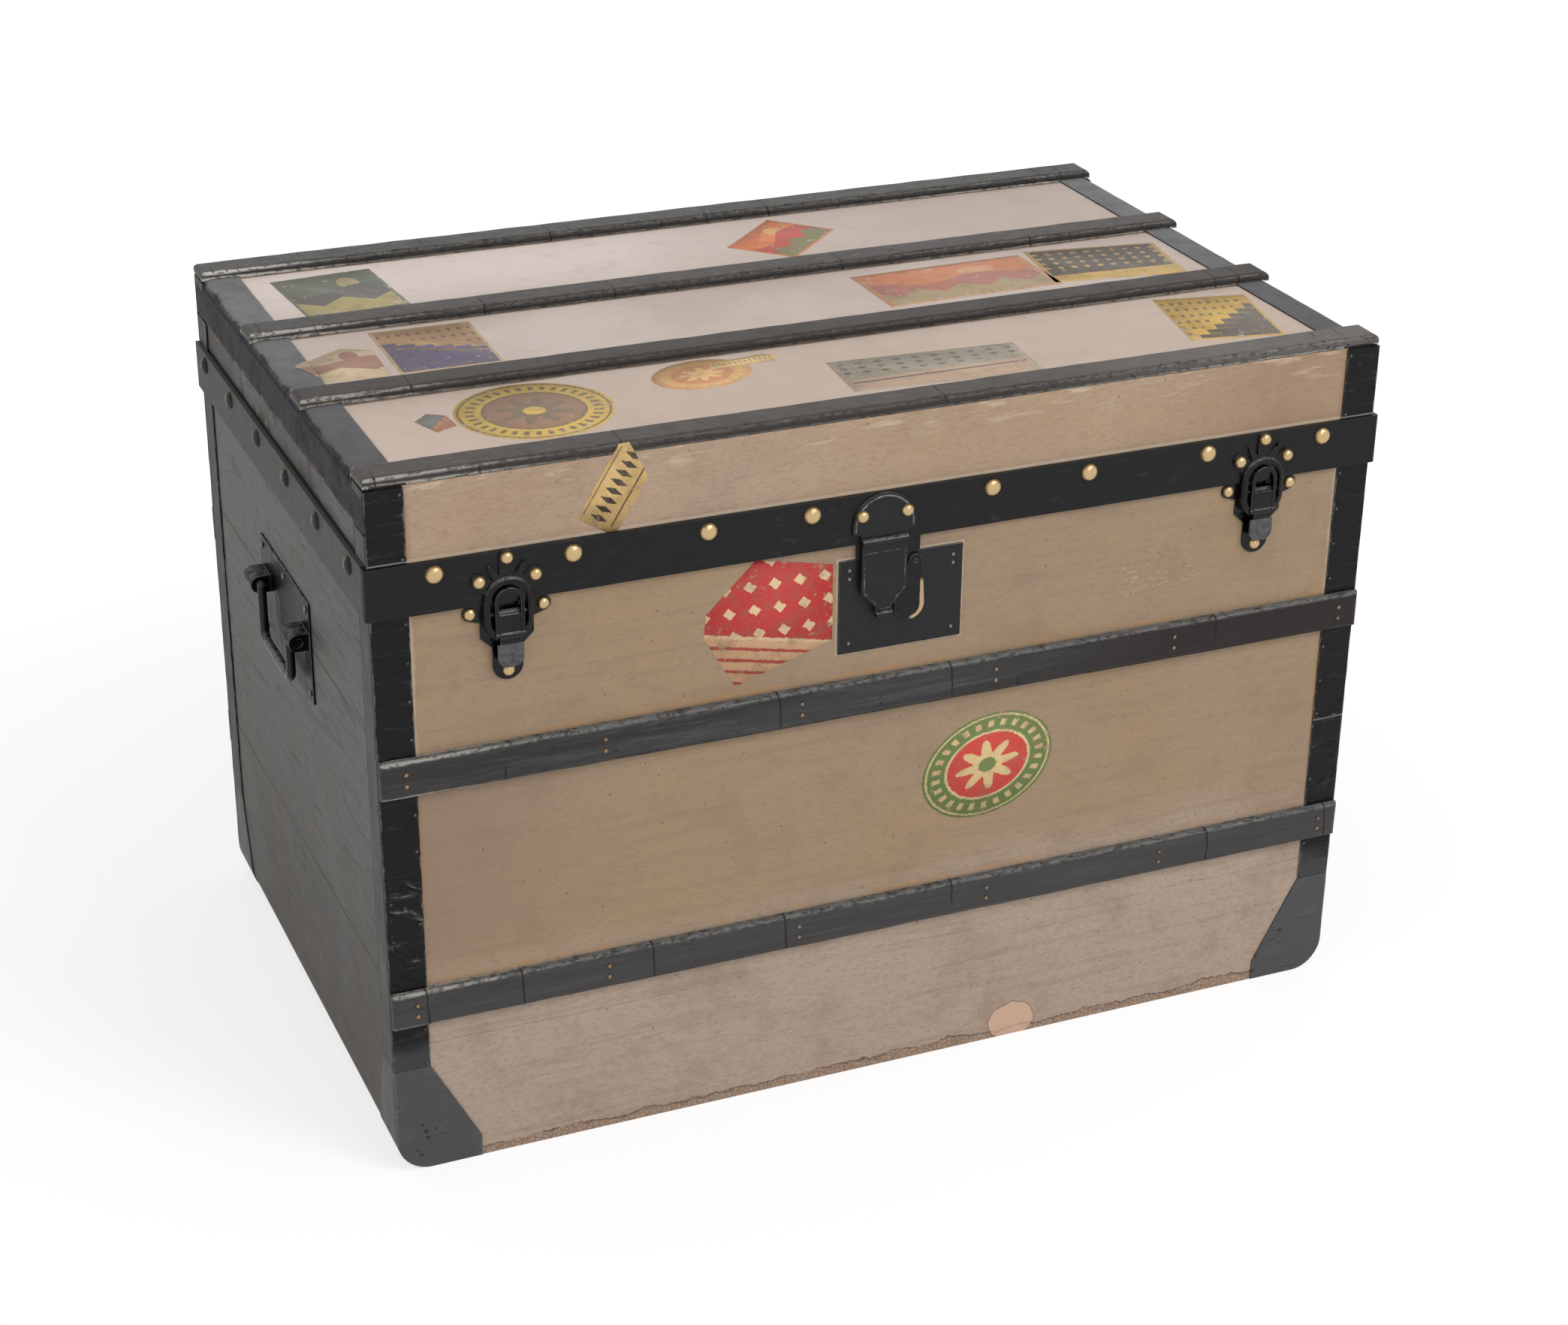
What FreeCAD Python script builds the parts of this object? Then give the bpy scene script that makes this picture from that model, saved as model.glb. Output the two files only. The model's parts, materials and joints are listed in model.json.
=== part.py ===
import FreeCAD, Part
import math
import os

V = FreeCAD.Vector

# Whole trunk: X along its length, -Y its front, +Z up, origin under its middle
trunk_length = 900.0
trunk_depth = 554.0
seam_height = 512.0
lid_height = 108.0
end_round = 28.0
lid_end_round = 8.0

# Materials of the carcass
board = 10.0
canvas = 1.0
binding = 1.5
lining = 1.0

# Shared allowances
overrun = 5.0
soft_gap = 0.3
running_gap = 0.05
side_gap = 0.4
knuckle_gap = 0.1

# Widths of planks as shares of the face that they make up
wall_plank_shares = (0.0, 0.347, 0.783, 1.0)
floor_plank_shares = (0.0, 0.26, 0.5, 0.76, 1.0)

# Corner bindings and shoes
binding_front_width = 32.0
binding_end_width = 33.0
shoe_top = 100.0
shoe_knee = 20.0
shoe_front_reach = 74.0
shoe_end_reach = 58.0
tack_radius = 1.6
tack_rise = 0.9
tack_inset = 3.4
tack_pitch = 31.0

# Rim band of the lid, with its tab behind the hasp
band_width = 44.0
band_rise = 4.5
band_end_rise = 5.5
tab_left_reach = 23.2
tab_right_reach = 33.8
tab_drop = 13.0
stud_radius = 7.8
stud_rise = 4.2
stud_height_share = 0.739
stud_shares = (0.18, 0.38, 0.633, 0.884)
end_stud_shares = (0.173, 0.523, 0.866)

# Wooden slats
slat_width = 34.5
slat_thick = 9.0
slat_round = 5.5
upper_slat_share = 0.729
lower_slat_share = 0.3125
lid_slat_width = 33.0
lid_slat_shares = (-1.0, -0.348, 0.26, 0.895)
slat_nail_radius = 2.0
slat_nail_rise = 0.9
slat_nail_split = 5.2
slat_nail_shares = (0.199, 0.583, 0.953)

# Borders that fold over the lid's ends
border_width = 34.5
border_fold = 38.0

# Draw catches: heights are drops below the seam and lifts above it
catch_share = 0.755
catch_plate = 1.6
ear_radius = 6.3
lid_top_ear_lift = 38.2
lid_side_ear_lift = 20.7
lid_side_ear_reach = 23.0
body_ear_drop = 7.0
body_ear_reach = 30.2
body_shoulder_half = 22.0
body_shoulder_drop = 30.0
body_neck_half = 12.5
body_neck_drop = 39.0
body_tip_drop = 55.7
tip_nail_drop = 60.0
catch_nail_radius = 5.5
catch_nail_rise = 4.0
oval_radius = 20.7
oval_drop = 12.9
oval_lift = 2.0
oval_rise = 9.5
oval_wall = 5.2
oval_round = 3.2
spur_reach = 14.5
spur_lift = 31.5
spur_radius = 1.2
spur_root_radius = 4.0
spur_root_lift = 19.0
lever_pivot_drop = 8.5
pivot_pin_radius = 1.5
barrel_radius = 3.0
barrel_lift = 1.4
lever_half = 8.5
lever_thick = 2.5
ring_pivot_drop = 26.0
ring_pin_radius = 1.2
ring_bar = 3.0
ring_eye_wall = 1.2
ring_top_lift = 14.0
ring_side_gap = 0.5
tongue_half = 10.7
tongue_gap = 8.0
tongue_length = 19.5
tongue_round = 8.0
keeper_half = 6.5
keeper_height = 7.4
keeper_rise = 1.5
keeper_gap = 0.6

# Hasp
hasp_centre = -17.3
hasp_axis_lift = 2.0
hasp_plate_radius = 28.4
hasp_plate_lift = 15.0
hasp_plate_foot = 9.0
hasp_plate_thick = 2.0
hasp_knuckle_radius = 3.2
hasp_pin_radius = 1.4
hasp_knuckle_half = 20.6
hasp_tongue_inset = 0.2
hasp_tongue_thick = 2.5
hasp_tongue_drop = 43.0
hasp_taper_drop = 57.0
hasp_taper_half = 7.4
hasp_tip_drop = 66.0
hasp_nail_radius = 5.8
hasp_nail_rise = 4.4
hasp_nail_reach = 20.1
hasp_nail_lift = 25.5
staple_thick = 3.0
staple_drop = 44.0
staple_wall = 3.0
staple_end_wall = 1.6
staple_eye_gap = 0.5

# Lock
lock_centre = 1.0
lock_half = 56.0
lock_drop = 14.0
lock_height = 84.0
lock_plate_thick = 2.0
case_side_margin = 11.0
case_level_margin = 10.0
case_wall = 1.2
bolt_height = 8.0
bolt_front = 2.6
bolt_thick = 3.0
bolt_rest_gap = 2.4
bolt_length = 40.0
guide_wall = 1.2
guide_gap = 0.2
keyhole_reach = 7.0
keyhole_drop = 56.0
keyhole_radius = 3.0
keyhole_slot_half = 1.4
keyhole_slot_length = 10.5
lock_nail_radius = 2.0
lock_nail_rise = 0.9
lock_nail_inset = 9.0
lock_nail_split = 7.5

# Keyhole cover
cover_pivot_reach = 4.5
cover_pivot_inset = 8.0
cover_pivot_radius = 1.8
cover_top_radius = 6.2
cover_drop_reach = 0.6
cover_drop_sag = 4.6
cover_drop_radius = 13.6
cover_lift = 1.4
cover_thick = 1.8
cover_clear = 0.6
cover_rivet_radius = 3.4

# End handles
handle_drop = 105.0
handle_plate_half = 81.0
handle_plate_above = 36.0
handle_plate_below = 58.0
handle_plate_thick = 2.0
bail_radius = 4.0
bail_drop = 48.0
bail_bend = 9.0
bail_gap = 1.0
saddle_wall = 4.0
saddle_length = 27.0
saddle_inset = 3.0
saddle_foot = 3.5
stub_share = 0.62
handle_rivet_radius = 3.2
handle_rivet_rise = 1.6
handle_rivet_inset = 8.0

# Back hinges
hinge_shares = (-0.667, 0.0, 0.667)
hinge_half = 30.0
hinge_leaf = 2.0
hinge_leaf_height = 46.0
hinge_knuckle_radius = 3.5
hinge_pin_radius = 1.8
hinge_screw_radius = 3.4
hinge_screw_rise = 1.3
hinge_screw_side_share = 0.6
hinge_screw_level_share = 0.7

# Lid stays
stay_arm = 170.0
stay_lean = 8.0
lid_open = 100.0
stay_width = 14.0
stay_thick = 2.0
stay_off_wall = 2.2
stay_end = 11.0
stay_stud_radius = 3.0
stay_rivet_radius = 2.5
stay_collar_radius = 5.6
stay_head_thick = 1.5
stay_shank_depth = 6.0

# Places that follow from the sizes above
half_length = trunk_length / 2
end_x = half_length - binding
face_y = trunk_depth / 2
wall_y = face_y - canvas
inner_x = end_x - board
inner_y = wall_y - board
lid_top = seam_height + lid_height
lid_board_top = lid_top - canvas
lid_board_low = lid_board_top - board
band_top = seam_height + band_width
hinge_axis_y = face_y + soft_gap + hinge_knuckle_radius

os.makedirs("parts", exist_ok=True)


def save(name, *solids):
    shape = solids[0] if len(solids) == 1 else Part.makeCompound(list(solids))
    shape.exportStep("parts/" + name + ".step")


def block(x0, x1, y0, y1, z0, z1):
    return Part.makeBox(x1 - x0, y1 - y0, z1 - z0, V(x0, y0, z0))


def rod(start, along, radius):
    """A round bar from start over the vector along."""
    return Part.makeCylinder(radius, along.Length, start, along)


def join(first, *others):
    shape = first
    for other in others:
        shape = shape.fuse(other)
    return shape.removeSplitter()


def mirror_x(shape):
    return shape.mirror(V(0, 0, 0), V(1, 0, 0))


def front(x, rise, z):
    """A point at a rise in front of the body's front canvas."""
    return V(x, -face_y - rise, z)


def front_block(x0, x1, rise0, rise1, z0, z1):
    return block(x0, x1, -face_y - rise1, -face_y - rise0, z0, z1)


def front_rod(x, z, rise0, rise1, radius):
    return rod(front(x, rise0, z), V(0, rise0 - rise1, 0), radius)


def cross_rod(x0, x1, rise, z, radius):
    return rod(front(x0, rise, z), V(x1 - x0, 0, 0), radius)


def plate(points, rise0, rise1):
    """A flat plate on the front whose outline is a list of (x, z)."""
    corners = [front(x, rise0, z) for x, z in points]
    face = Part.Face(Part.makePolygon(corners + corners[:1]))
    return face.extrude(V(0, rise0 - rise1, 0))


def tapered(one, two, rise0, rise1):
    """A plate with two round ends, each given as (x, z, radius)."""
    (x1, z1, r1), (x2, z2, r2) = one, two
    span = math.hypot(x2 - x1, z2 - z1)
    line = math.atan2(z2 - z1, x2 - x1)
    side = math.acos((r1 - r2) / span)
    points = []
    for x, z, r, turn in ((x1, z1, r1, side), (x1, z1, r1, -side), (x2, z2, r2, -side), (x2, z2, r2, side)):
        points.append((x + r * math.cos(line + turn), z + r * math.sin(line + turn)))
    ends = [front_rod(x, z, rise0, rise1, r) for x, z, r in (one, two)]
    return join(plate(points, rise0, rise1), *ends)


def dome(base, outward, radius, rise):
    """The round head of a nail, standing on base."""
    ball = (radius * radius + rise * rise) / (2 * rise)
    tilt = math.degrees(math.asin((ball - rise) / ball))
    centre = base - outward * (ball - rise)
    return Part.makeSphere(ball, centre, outward, tilt, 90, 360)


def front_dome(x, rise, z, radius, height):
    return dome(front(x, rise, z), V(0, -1, 0), radius, height)


def end_outline(half, low, high, radius, y):
    """Outline across the trunk with its two lower corners rounded."""
    bend = radius * math.sqrt(0.5)
    left, right, top = -half + radius, half - radius, low + radius
    edges = [
        Part.LineSegment(V(-half, y, high), V(-half, y, top)),
        Part.Arc(V(-half, y, top), V(left - bend, y, top - bend), V(left, y, low)),
        Part.LineSegment(V(left, y, low), V(right, y, low)),
        Part.Arc(V(right, y, low), V(right + bend, y, top - bend), V(half, y, top)),
        Part.LineSegment(V(half, y, top), V(half, y, high)),
        Part.LineSegment(V(half, y, high), V(-half, y, high)),
    ]
    return Part.Wire([edge.toShape() for edge in edges])


def trough(half, low, high, radius, y0, y1):
    return Part.Face(end_outline(half, low, high, radius, y0)).extrude(V(0, y1 - y0, 0))


def arch(half, low, high, radius, y0, y1):
    """The same outline turned over, rounded at its two upper corners."""
    shape = trough(half, -high, -low, radius, -y1, -y0)
    return shape.rotate(V(0, 0, 0), V(1, 0, 0), 180)


def planks(shape, shares, low, high, cut):
    """The shape in planks, where cut gives the slab between two edges."""
    edges = [low + share * (high - low) for share in shares]
    return [shape.common(cut(a, b)) for a, b in zip(edges, edges[1:])]


def level_slab(z0, z1):
    return block(-trunk_length, trunk_length, -trunk_depth, trunk_depth, z0, z1)


def depth_slab(y0, y1):
    return block(-trunk_length, trunk_length, y0, y1, -overrun, lid_top + overrun)


# Corner shoes: pressed sheets that cup each bottom corner
shoe_y = face_y + binding
shoe_shell = trough(half_length, 0, seam_height, end_round + binding, -shoe_y, shoe_y)
shoe_shell = shoe_shell.cut(trough(end_x, binding, seam_height + overrun, end_round, -face_y, face_y))


def shoe_sides(along, knee_reach, strip_width, corner):
    """Outline of one side of a shoe, measured in from its corner."""
    outer = corner + overrun
    heights = (-overrun, -overrun, shoe_top, shoe_top, shoe_knee)
    reaches = (corner - knee_reach, outer, outer, corner - strip_width, corner - knee_reach)
    return [V(*along(reach, z)) for reach, z in zip(reaches, heights)]


def shoe_corner():
    front_points = shoe_sides(
        lambda x, z: (x, -shoe_y - overrun, z), shoe_front_reach, binding_front_width, half_length
    )
    end_points = shoe_sides(lambda y, z: (0, -y, z), shoe_end_reach, binding_end_width, shoe_y)
    front_patch = Part.Face(Part.makePolygon(front_points + front_points[:1]))
    end_patch = Part.Face(Part.makePolygon(end_points + end_points[:1]))
    front_patch = front_patch.extrude(V(0, shoe_y + overrun, 0))
    end_patch = end_patch.extrude(V(half_length + overrun, 0, 0))
    return shoe_shell.common(front_patch).common(end_patch)


front_right_shoe = shoe_corner()
back_right_shoe = front_right_shoe.mirror(V(0, 0, 0), V(0, 1, 0))
shoes = [front_right_shoe, mirror_x(front_right_shoe), back_right_shoe, mirror_x(back_right_shoe)]
save("corner_shoes", *shoes)

# Lock case, with its bolt and the way that the hasp's staple takes
slot_half = staple_thick / 2 + side_gap
hasp_axis_height = seam_height + hasp_axis_lift
hasp_axis_rise = band_rise + hasp_knuckle_radius + running_gap
staple_middle = seam_height - staple_drop
staple_half_height = bolt_height / 2 + staple_eye_gap + staple_wall
staple_low = staple_middle - staple_half_height
staple_high = staple_middle + staple_half_height
staple_depth = bolt_front + bolt_thick + side_gap + staple_end_wall
lock_left = lock_centre - lock_half
lock_right = lock_centre + lock_half
lock_high = seam_height - lock_drop
lock_low = lock_high - lock_height
case_left = lock_left + case_side_margin
case_right = lock_right - case_side_margin
case_low = lock_low + case_level_margin
case_high = lock_high - case_level_margin
case_depth = staple_depth + side_gap + soft_gap + case_wall
bolt_tip = hasp_centre + slot_half + bolt_rest_gap
bolt_low = staple_middle - bolt_height / 2
bolt_high = staple_middle + bolt_height / 2
staple_swing = math.hypot(hasp_axis_rise + staple_depth, hasp_axis_height - staple_low)
slot_low = hasp_axis_height - staple_swing - side_gap
staple_way = front_block(
    hasp_centre - slot_half,
    hasp_centre + slot_half,
    -staple_depth - side_gap,
    lock_plate_thick + overrun,
    slot_low,
    seam_height + overrun,
)
bolt_back = bolt_front + bolt_thick
case_block = front_block(case_left, case_right, -case_depth, 0, case_low, case_high)
case_hollow = front_block(
    case_left + case_wall,
    case_right - case_wall,
    case_wall - case_depth,
    overrun,
    case_low + case_wall,
    case_high - case_wall,
)
guide_start = hasp_centre + slot_half + guide_wall
guide_end = bolt_tip + bolt_length
guide_floor = front_block(
    guide_start,
    guide_end,
    case_wall / 2 - case_depth,
    -guide_wall,
    bolt_low - guide_gap - guide_wall,
    bolt_low - guide_gap,
)
guide_roof = guide_floor.translated(V(0, 0, bolt_high - bolt_low + 2 * guide_gap + guide_wall))
guide_back = front_block(
    guide_start,
    guide_end,
    case_wall / 2 - case_depth,
    -bolt_back - guide_gap,
    bolt_low - guide_gap - guide_wall / 2,
    bolt_high + guide_gap + guide_wall / 2,
)
lock_case = join(case_block.cut(case_hollow), guide_floor, guide_roof, guide_back).cut(staple_way)
save("lock_case", lock_case)
save("lock_bolt", front_block(bolt_tip, guide_end, -bolt_back, -bolt_front, bolt_low, bolt_high))
lock_pocket = join(case_block, staple_way)

# Hollows in the walls for the stays' studs and rivets
stay_reach = stay_arm * math.cos(math.radians(stay_lean))
stay_drop = stay_arm * math.sin(math.radians(stay_lean))
stay_y = hinge_axis_y - stay_reach
stud_z = seam_height - stay_drop
rivet_z = seam_height + stay_drop
stay_outer = inner_x - lining - stay_off_wall
stay_inner = stay_outer - stay_thick


def stay_fixing(z, radius):
    """Shank, collar and head that hold a stay to the right end."""
    head = stay_inner - soft_gap
    shank = rod(V(head, stay_y, z), V(inner_x + stay_shank_depth - head, 0, 0), radius)
    collar_start = stay_outer + soft_gap
    collar = rod(V(collar_start, stay_y, z), V(inner_x - lining - collar_start, 0, 0), stay_collar_radius)
    cap = rod(V(head - stay_head_thick, stay_y, z), V(stay_head_thick, 0, 0), stay_collar_radius)
    return join(shank, collar, cap)


right_stud = stay_fixing(stud_z, stay_stud_radius)
right_rivet = stay_fixing(rivet_z, stay_rivet_radius)
studs = [right_stud, mirror_x(right_stud)]
rivets = [right_rivet, mirror_x(right_rivet)]
save("stay_studs", *studs)
save("stay_rivets", *rivets)


def without(shape, others):
    for other in others:
        shape = shape.cut(other)
    return shape


# Body boards: front and back cover the ends of the others
front_wall = trough(end_x, 0, seam_height, end_round, -wall_y, -inner_y)
back_wall = trough(end_x, 0, seam_height, end_round, inner_y, wall_y)
ring = trough(end_x, 0, seam_height, end_round, -inner_y, inner_y)
ring = ring.cut(trough(inner_x, board, seam_height + overrun, end_round - board, -wall_y, wall_y))
front_wall = without(front_wall, [lock_pocket] + shoes)
back_wall = without(back_wall, shoes)
ring = without(ring, shoes + studs)
save("front_boards", *planks(front_wall, wall_plank_shares, 0, seam_height, level_slab))
save("back_boards", *planks(back_wall, wall_plank_shares, 0, seam_height, level_slab))

ring_reach = end_x - end_round
above_round = block(0, half_length, -face_y, face_y, end_round, seam_height + overrun)
right_end = ring.common(above_round)
left_end = ring.common(mirror_x(above_round))
save("right_end_boards", *planks(right_end, wall_plank_shares, 0, seam_height, level_slab))
save("left_end_boards", *planks(left_end, wall_plank_shares, 0, seam_height, level_slab))
rail_box = block(ring_reach, half_length, -face_y, face_y, -overrun, end_round)
save("bottom_rails", ring.common(rail_box), ring.common(mirror_x(rail_box)))
floor = ring.common(block(-ring_reach, ring_reach, -face_y, face_y, -overrun, end_round))
save("bottom_boards", *planks(floor, floor_plank_shares, -inner_y, inner_y, depth_slab))

body_lining = trough(inner_x, board, seam_height, end_round - board, -inner_y, inner_y)
body_lining = body_lining.cut(
    trough(
        inner_x - lining,
        board + lining,
        seam_height + overrun,
        end_round - board - lining,
        lining - inner_y,
        inner_y - lining,
    )
)
save("body_lining", without(body_lining, [lock_pocket] + studs))

# Canvas of the body
front_sheet = trough(end_x, 0, seam_height, end_round, -face_y, -wall_y)
back_sheet = trough(end_x, 0, seam_height, end_round, wall_y, face_y)
front_sheet = without(front_sheet, [lock_pocket] + shoes)
back_sheet = without(back_sheet, shoes)
save("front_canvas", front_sheet)
save("back_canvas", back_sheet)


def corner_binding(z0, z1, canvas_sheet):
    """An angle strip on the front right corner, bedded over the canvas."""
    strip_x = half_length - binding_front_width
    outer = block(strip_x, half_length, -shoe_y, binding_end_width - shoe_y, z0, z1)
    inner = block(strip_x - overrun, end_x, -wall_y, face_y, z0 - overrun, z1 + overrun)
    end_skin = block(end_x, half_length, -shoe_y, binding_end_width - shoe_y, z0, z1)
    front_skin = block(half_length - binding_front_width, half_length, -shoe_y, -wall_y, z0, z1)
    shape = join(end_skin, front_skin).cut(inner).common(outer)
    return shape.cut(canvas_sheet)


def both_ends(shape):
    return [shape, mirror_x(shape)]


def to_back(shape):
    return shape.mirror(V(0, 0, 0), V(0, 1, 0))


body_corner = corner_binding(shoe_top, seam_height, front_sheet)
save("front_corner_bindings", *both_ends(body_corner))
save("back_corner_bindings", *both_ends(to_back(body_corner)))


def rounded_slat(length_half, y0, y1, z0, z1, outward):
    """A slat with the edges of its outward face rounded over."""
    slat = block(-length_half, length_half, y0, y1, z0, z1)
    face = max(slat.Faces, key=lambda f: f.CenterOfMass.dot(outward))
    return slat.makeFillet(slat_round, face.Edges)


def front_slat(height):
    z0 = height - slat_width / 2
    slat = rounded_slat(half_length, -face_y - slat_thick, -face_y, z0, z0 + slat_width, V(0, -1, 0))
    return without(slat, both_ends(body_corner))


upper_slat_height = upper_slat_share * seam_height
lower_slat_height = lower_slat_share * seam_height
upper_slat = front_slat(upper_slat_height)
lower_slat = front_slat(lower_slat_height)
save("upper_front_slat", upper_slat)
save("lower_front_slat", lower_slat)
save("back_slats", to_back(upper_slat), to_back(lower_slat))

slat_nails = []
for height in (upper_slat_height, lower_slat_height):
    for share in slat_nail_shares:
        for x in (-share * half_length, share * half_length):
            for z in (height - slat_nail_split, height + slat_nail_split):
                slat_nails.append(front_dome(x, slat_thick, z, slat_nail_radius, slat_nail_rise))
slat_nails += [to_back(nail) for nail in slat_nails]
save("slat_nails", *slat_nails)


def tack_row(low, high, keep_clear):
    """Tacks up the inner edge of a front binding, missing the slats."""
    count = int((high - low) // tack_pitch)
    x = half_length - binding_front_width + tack_inset
    tacks = []
    for step in range(count + 1):
        z = low + (high - low) * step / count
        if all(abs(z - centre) > slat_width / 2 + tack_inset for centre in keep_clear):
            tacks.append(front_dome(x, binding, z, tack_radius, tack_rise))
    return tacks


front_slat_heights = (upper_slat_height, lower_slat_height)
body_tacks = tack_row(shoe_top + tack_inset, seam_height - 2 * tack_inset, front_slat_heights)
body_tacks += [mirror_x(tack) for tack in body_tacks]
body_tacks += [to_back(tack) for tack in body_tacks]
save("body_tacks", *body_tacks)

# Lid boards
lid_block = arch(end_x, seam_height, lid_board_top, lid_end_round, -wall_y, wall_y)
lid_hollow = block(-inner_x, inner_x, -inner_y, inner_y, seam_height - overrun, lid_board_low)
lid_boards = without(lid_block.cut(lid_hollow), rivets)
roof = lid_boards.common(level_slab(lid_board_low, lid_top))
rim = lid_boards.common(level_slab(seam_height, lid_board_low))
save("lid_top_boards", *planks(roof, floor_plank_shares, -wall_y, wall_y, depth_slab))
rim_right = block(inner_x, half_length, -inner_y, inner_y, seam_height, lid_top)
rim_front = block(-half_length, half_length, -face_y, -inner_y, seam_height, lid_top)
rim_pieces = [rim.common(piece) for piece in both_ends(rim_right) + [rim_front, to_back(rim_front)]]
save("lid_rim_boards", *rim_pieces)
lid_lining = lid_hollow.common(level_slab(seam_height, lid_board_low))
lid_lining = lid_lining.cut(
    block(
        lining - inner_x,
        inner_x - lining,
        lining - inner_y,
        inner_y - lining,
        seam_height - overrun,
        lid_board_low - lining,
    )
)
save("lid_lining", without(lid_lining, rivets))

# Lid canvas: one sheet over front, top and back
sheet_x = end_x - lid_end_round
lid_sheet = block(-sheet_x, sheet_x, -face_y, face_y, seam_height, lid_top)
lid_sheet = lid_sheet.cut(block(-end_x, end_x, -wall_y, wall_y, seam_height - overrun, lid_board_top))
save("lid_canvas", lid_sheet)

# Rim band round the front and the ends of the lid, with a tab behind the hasp
band_y = face_y + band_rise
band_x = end_x + band_end_rise
band = block(-band_x, band_x, -band_y, face_y, seam_height, band_top)
band = band.cut(block(-end_x, end_x, -wall_y, face_y + overrun, seam_height - overrun, band_top + overrun))
band = band.cut(lid_sheet)
corner_edges = [
    edge
    for edge in band.Edges
    if edge.BoundBox.ZLength > band_width / 2
    and abs(edge.CenterOfMass.x) > end_x
    and edge.CenterOfMass.y < -face_y
]
band = band.makeFillet(band_rise / 2, corner_edges)
tab_left = hasp_centre - tab_left_reach
tab_right = hasp_centre + tab_right_reach
tab = front_block(tab_left, tab_right, soft_gap, band_rise, seam_height - tab_drop, seam_height)
save("lid_band", join(band, tab))

stud_height = seam_height + stud_height_share * band_width
band_studs = []
for share in stud_shares:
    band_studs.append(front_dome(share * half_length, band_rise, stud_height, stud_radius, stud_rise))
for share in end_stud_shares:
    for y in (-share * face_y, share * face_y):
        band_studs.append(dome(V(band_x, y, stud_height), V(1, 0, 0), stud_radius, stud_rise))
band_studs += [mirror_x(stud) for stud in band_studs]
save("band_studs", *band_studs)

# Corner bindings and borders of the lid
lid_corner = corner_binding(band_top, lid_board_top, lid_sheet).cut(band)
lid_cap = arch(half_length, seam_height, lid_top + binding, lid_end_round + binding, -face_y, face_y)
lid_cap = lid_cap.cut(arch(end_x, seam_height - overrun, lid_board_top, lid_end_round, -shoe_y, shoe_y))
lid_cap = lid_cap.cut(lid_sheet)
border = lid_cap.common(
    block(
        half_length - border_width, half_length, -face_y, face_y, lid_top - border_fold, lid_top + binding
    )
)
lid_corner = lid_corner.cut(border)
lid_corners = both_ends(lid_corner) + both_ends(to_back(lid_corner))
borders = both_ends(border)
save("lid_corner_bindings", *lid_corners)
save("lid_end_borders", *borders)
lid_tacks = tack_row(band_top + tack_inset, lid_top - 2 * tack_inset, ())
lid_tacks += [mirror_x(tack) for tack in lid_tacks]
lid_tacks += [to_back(tack) for tack in lid_tacks]
save("lid_tacks", *lid_tacks)

lid_slats = []
for share in lid_slat_shares:
    slat_front = share * face_y
    slat = rounded_slat(
        half_length, slat_front, slat_front + lid_slat_width, lid_top, lid_top + slat_thick, V(0, 0, 1)
    )
    lid_slats.append(without(slat, borders))
save("lid_slats", *lid_slats)


# Heights and rises in a draw catch
oval_low = seam_height - oval_drop
oval_high = seam_height + oval_lift
body_ear = seam_height - body_ear_drop
body_tip = seam_height - body_tip_drop
body_shoulder_low = seam_height - body_shoulder_drop
body_neck_top = seam_height - body_neck_drop
lid_top_ear = seam_height + lid_top_ear_lift
lid_side_ear = seam_height + lid_side_ear_lift
lid_ear_places = (
    (-lid_side_ear_reach, lid_side_ear), (0, lid_top_ear), (lid_side_ear_reach, lid_side_ear)
)
body_nail_places = (
    (-body_ear_reach, body_ear), (body_ear_reach, body_ear), (0, seam_height - tip_nail_drop)
)
lid_rise = band_rise + catch_plate
lever_pivot_height = seam_height - lever_pivot_drop
lever_pivot_rise = catch_plate + barrel_lift + barrel_radius
ring_pivot_height = seam_height - ring_pivot_drop
ring_low_rise = lid_rise + keeper_rise + side_gap
ring_pivot_rise = ring_low_rise + ring_bar / 2
ring_inner_half = lever_half + ring_side_gap
ring_outer = ring_inner_half + ring_bar
ring_top = seam_height + ring_top_lift
ring_eye_radius = ring_pin_radius + ring_eye_wall
tongue_top = ring_pivot_height - tongue_gap
tongue_low = tongue_top - tongue_length
keeper_high = ring_top - ring_bar - keeper_gap
keeper_low = keeper_high - keeper_height


def oval_bar(x, radius, rise0, rise1):
    """A bar with round ends, upright on the front face."""
    return tapered((x, oval_low, radius), (x, oval_high, radius), rise0, rise1)


def oval_rim(x):
    """The raised oval wall that both halves of a catch share."""
    outer = oval_bar(x, oval_radius, 0, oval_rise)
    face = max(outer.Faces, key=lambda f: -f.CenterOfMass.y)
    outer = outer.makeFillet(oval_round, face.Edges)
    return outer.cut(oval_bar(x, oval_radius - oval_wall, -overrun, oval_rise + overrun))


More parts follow.
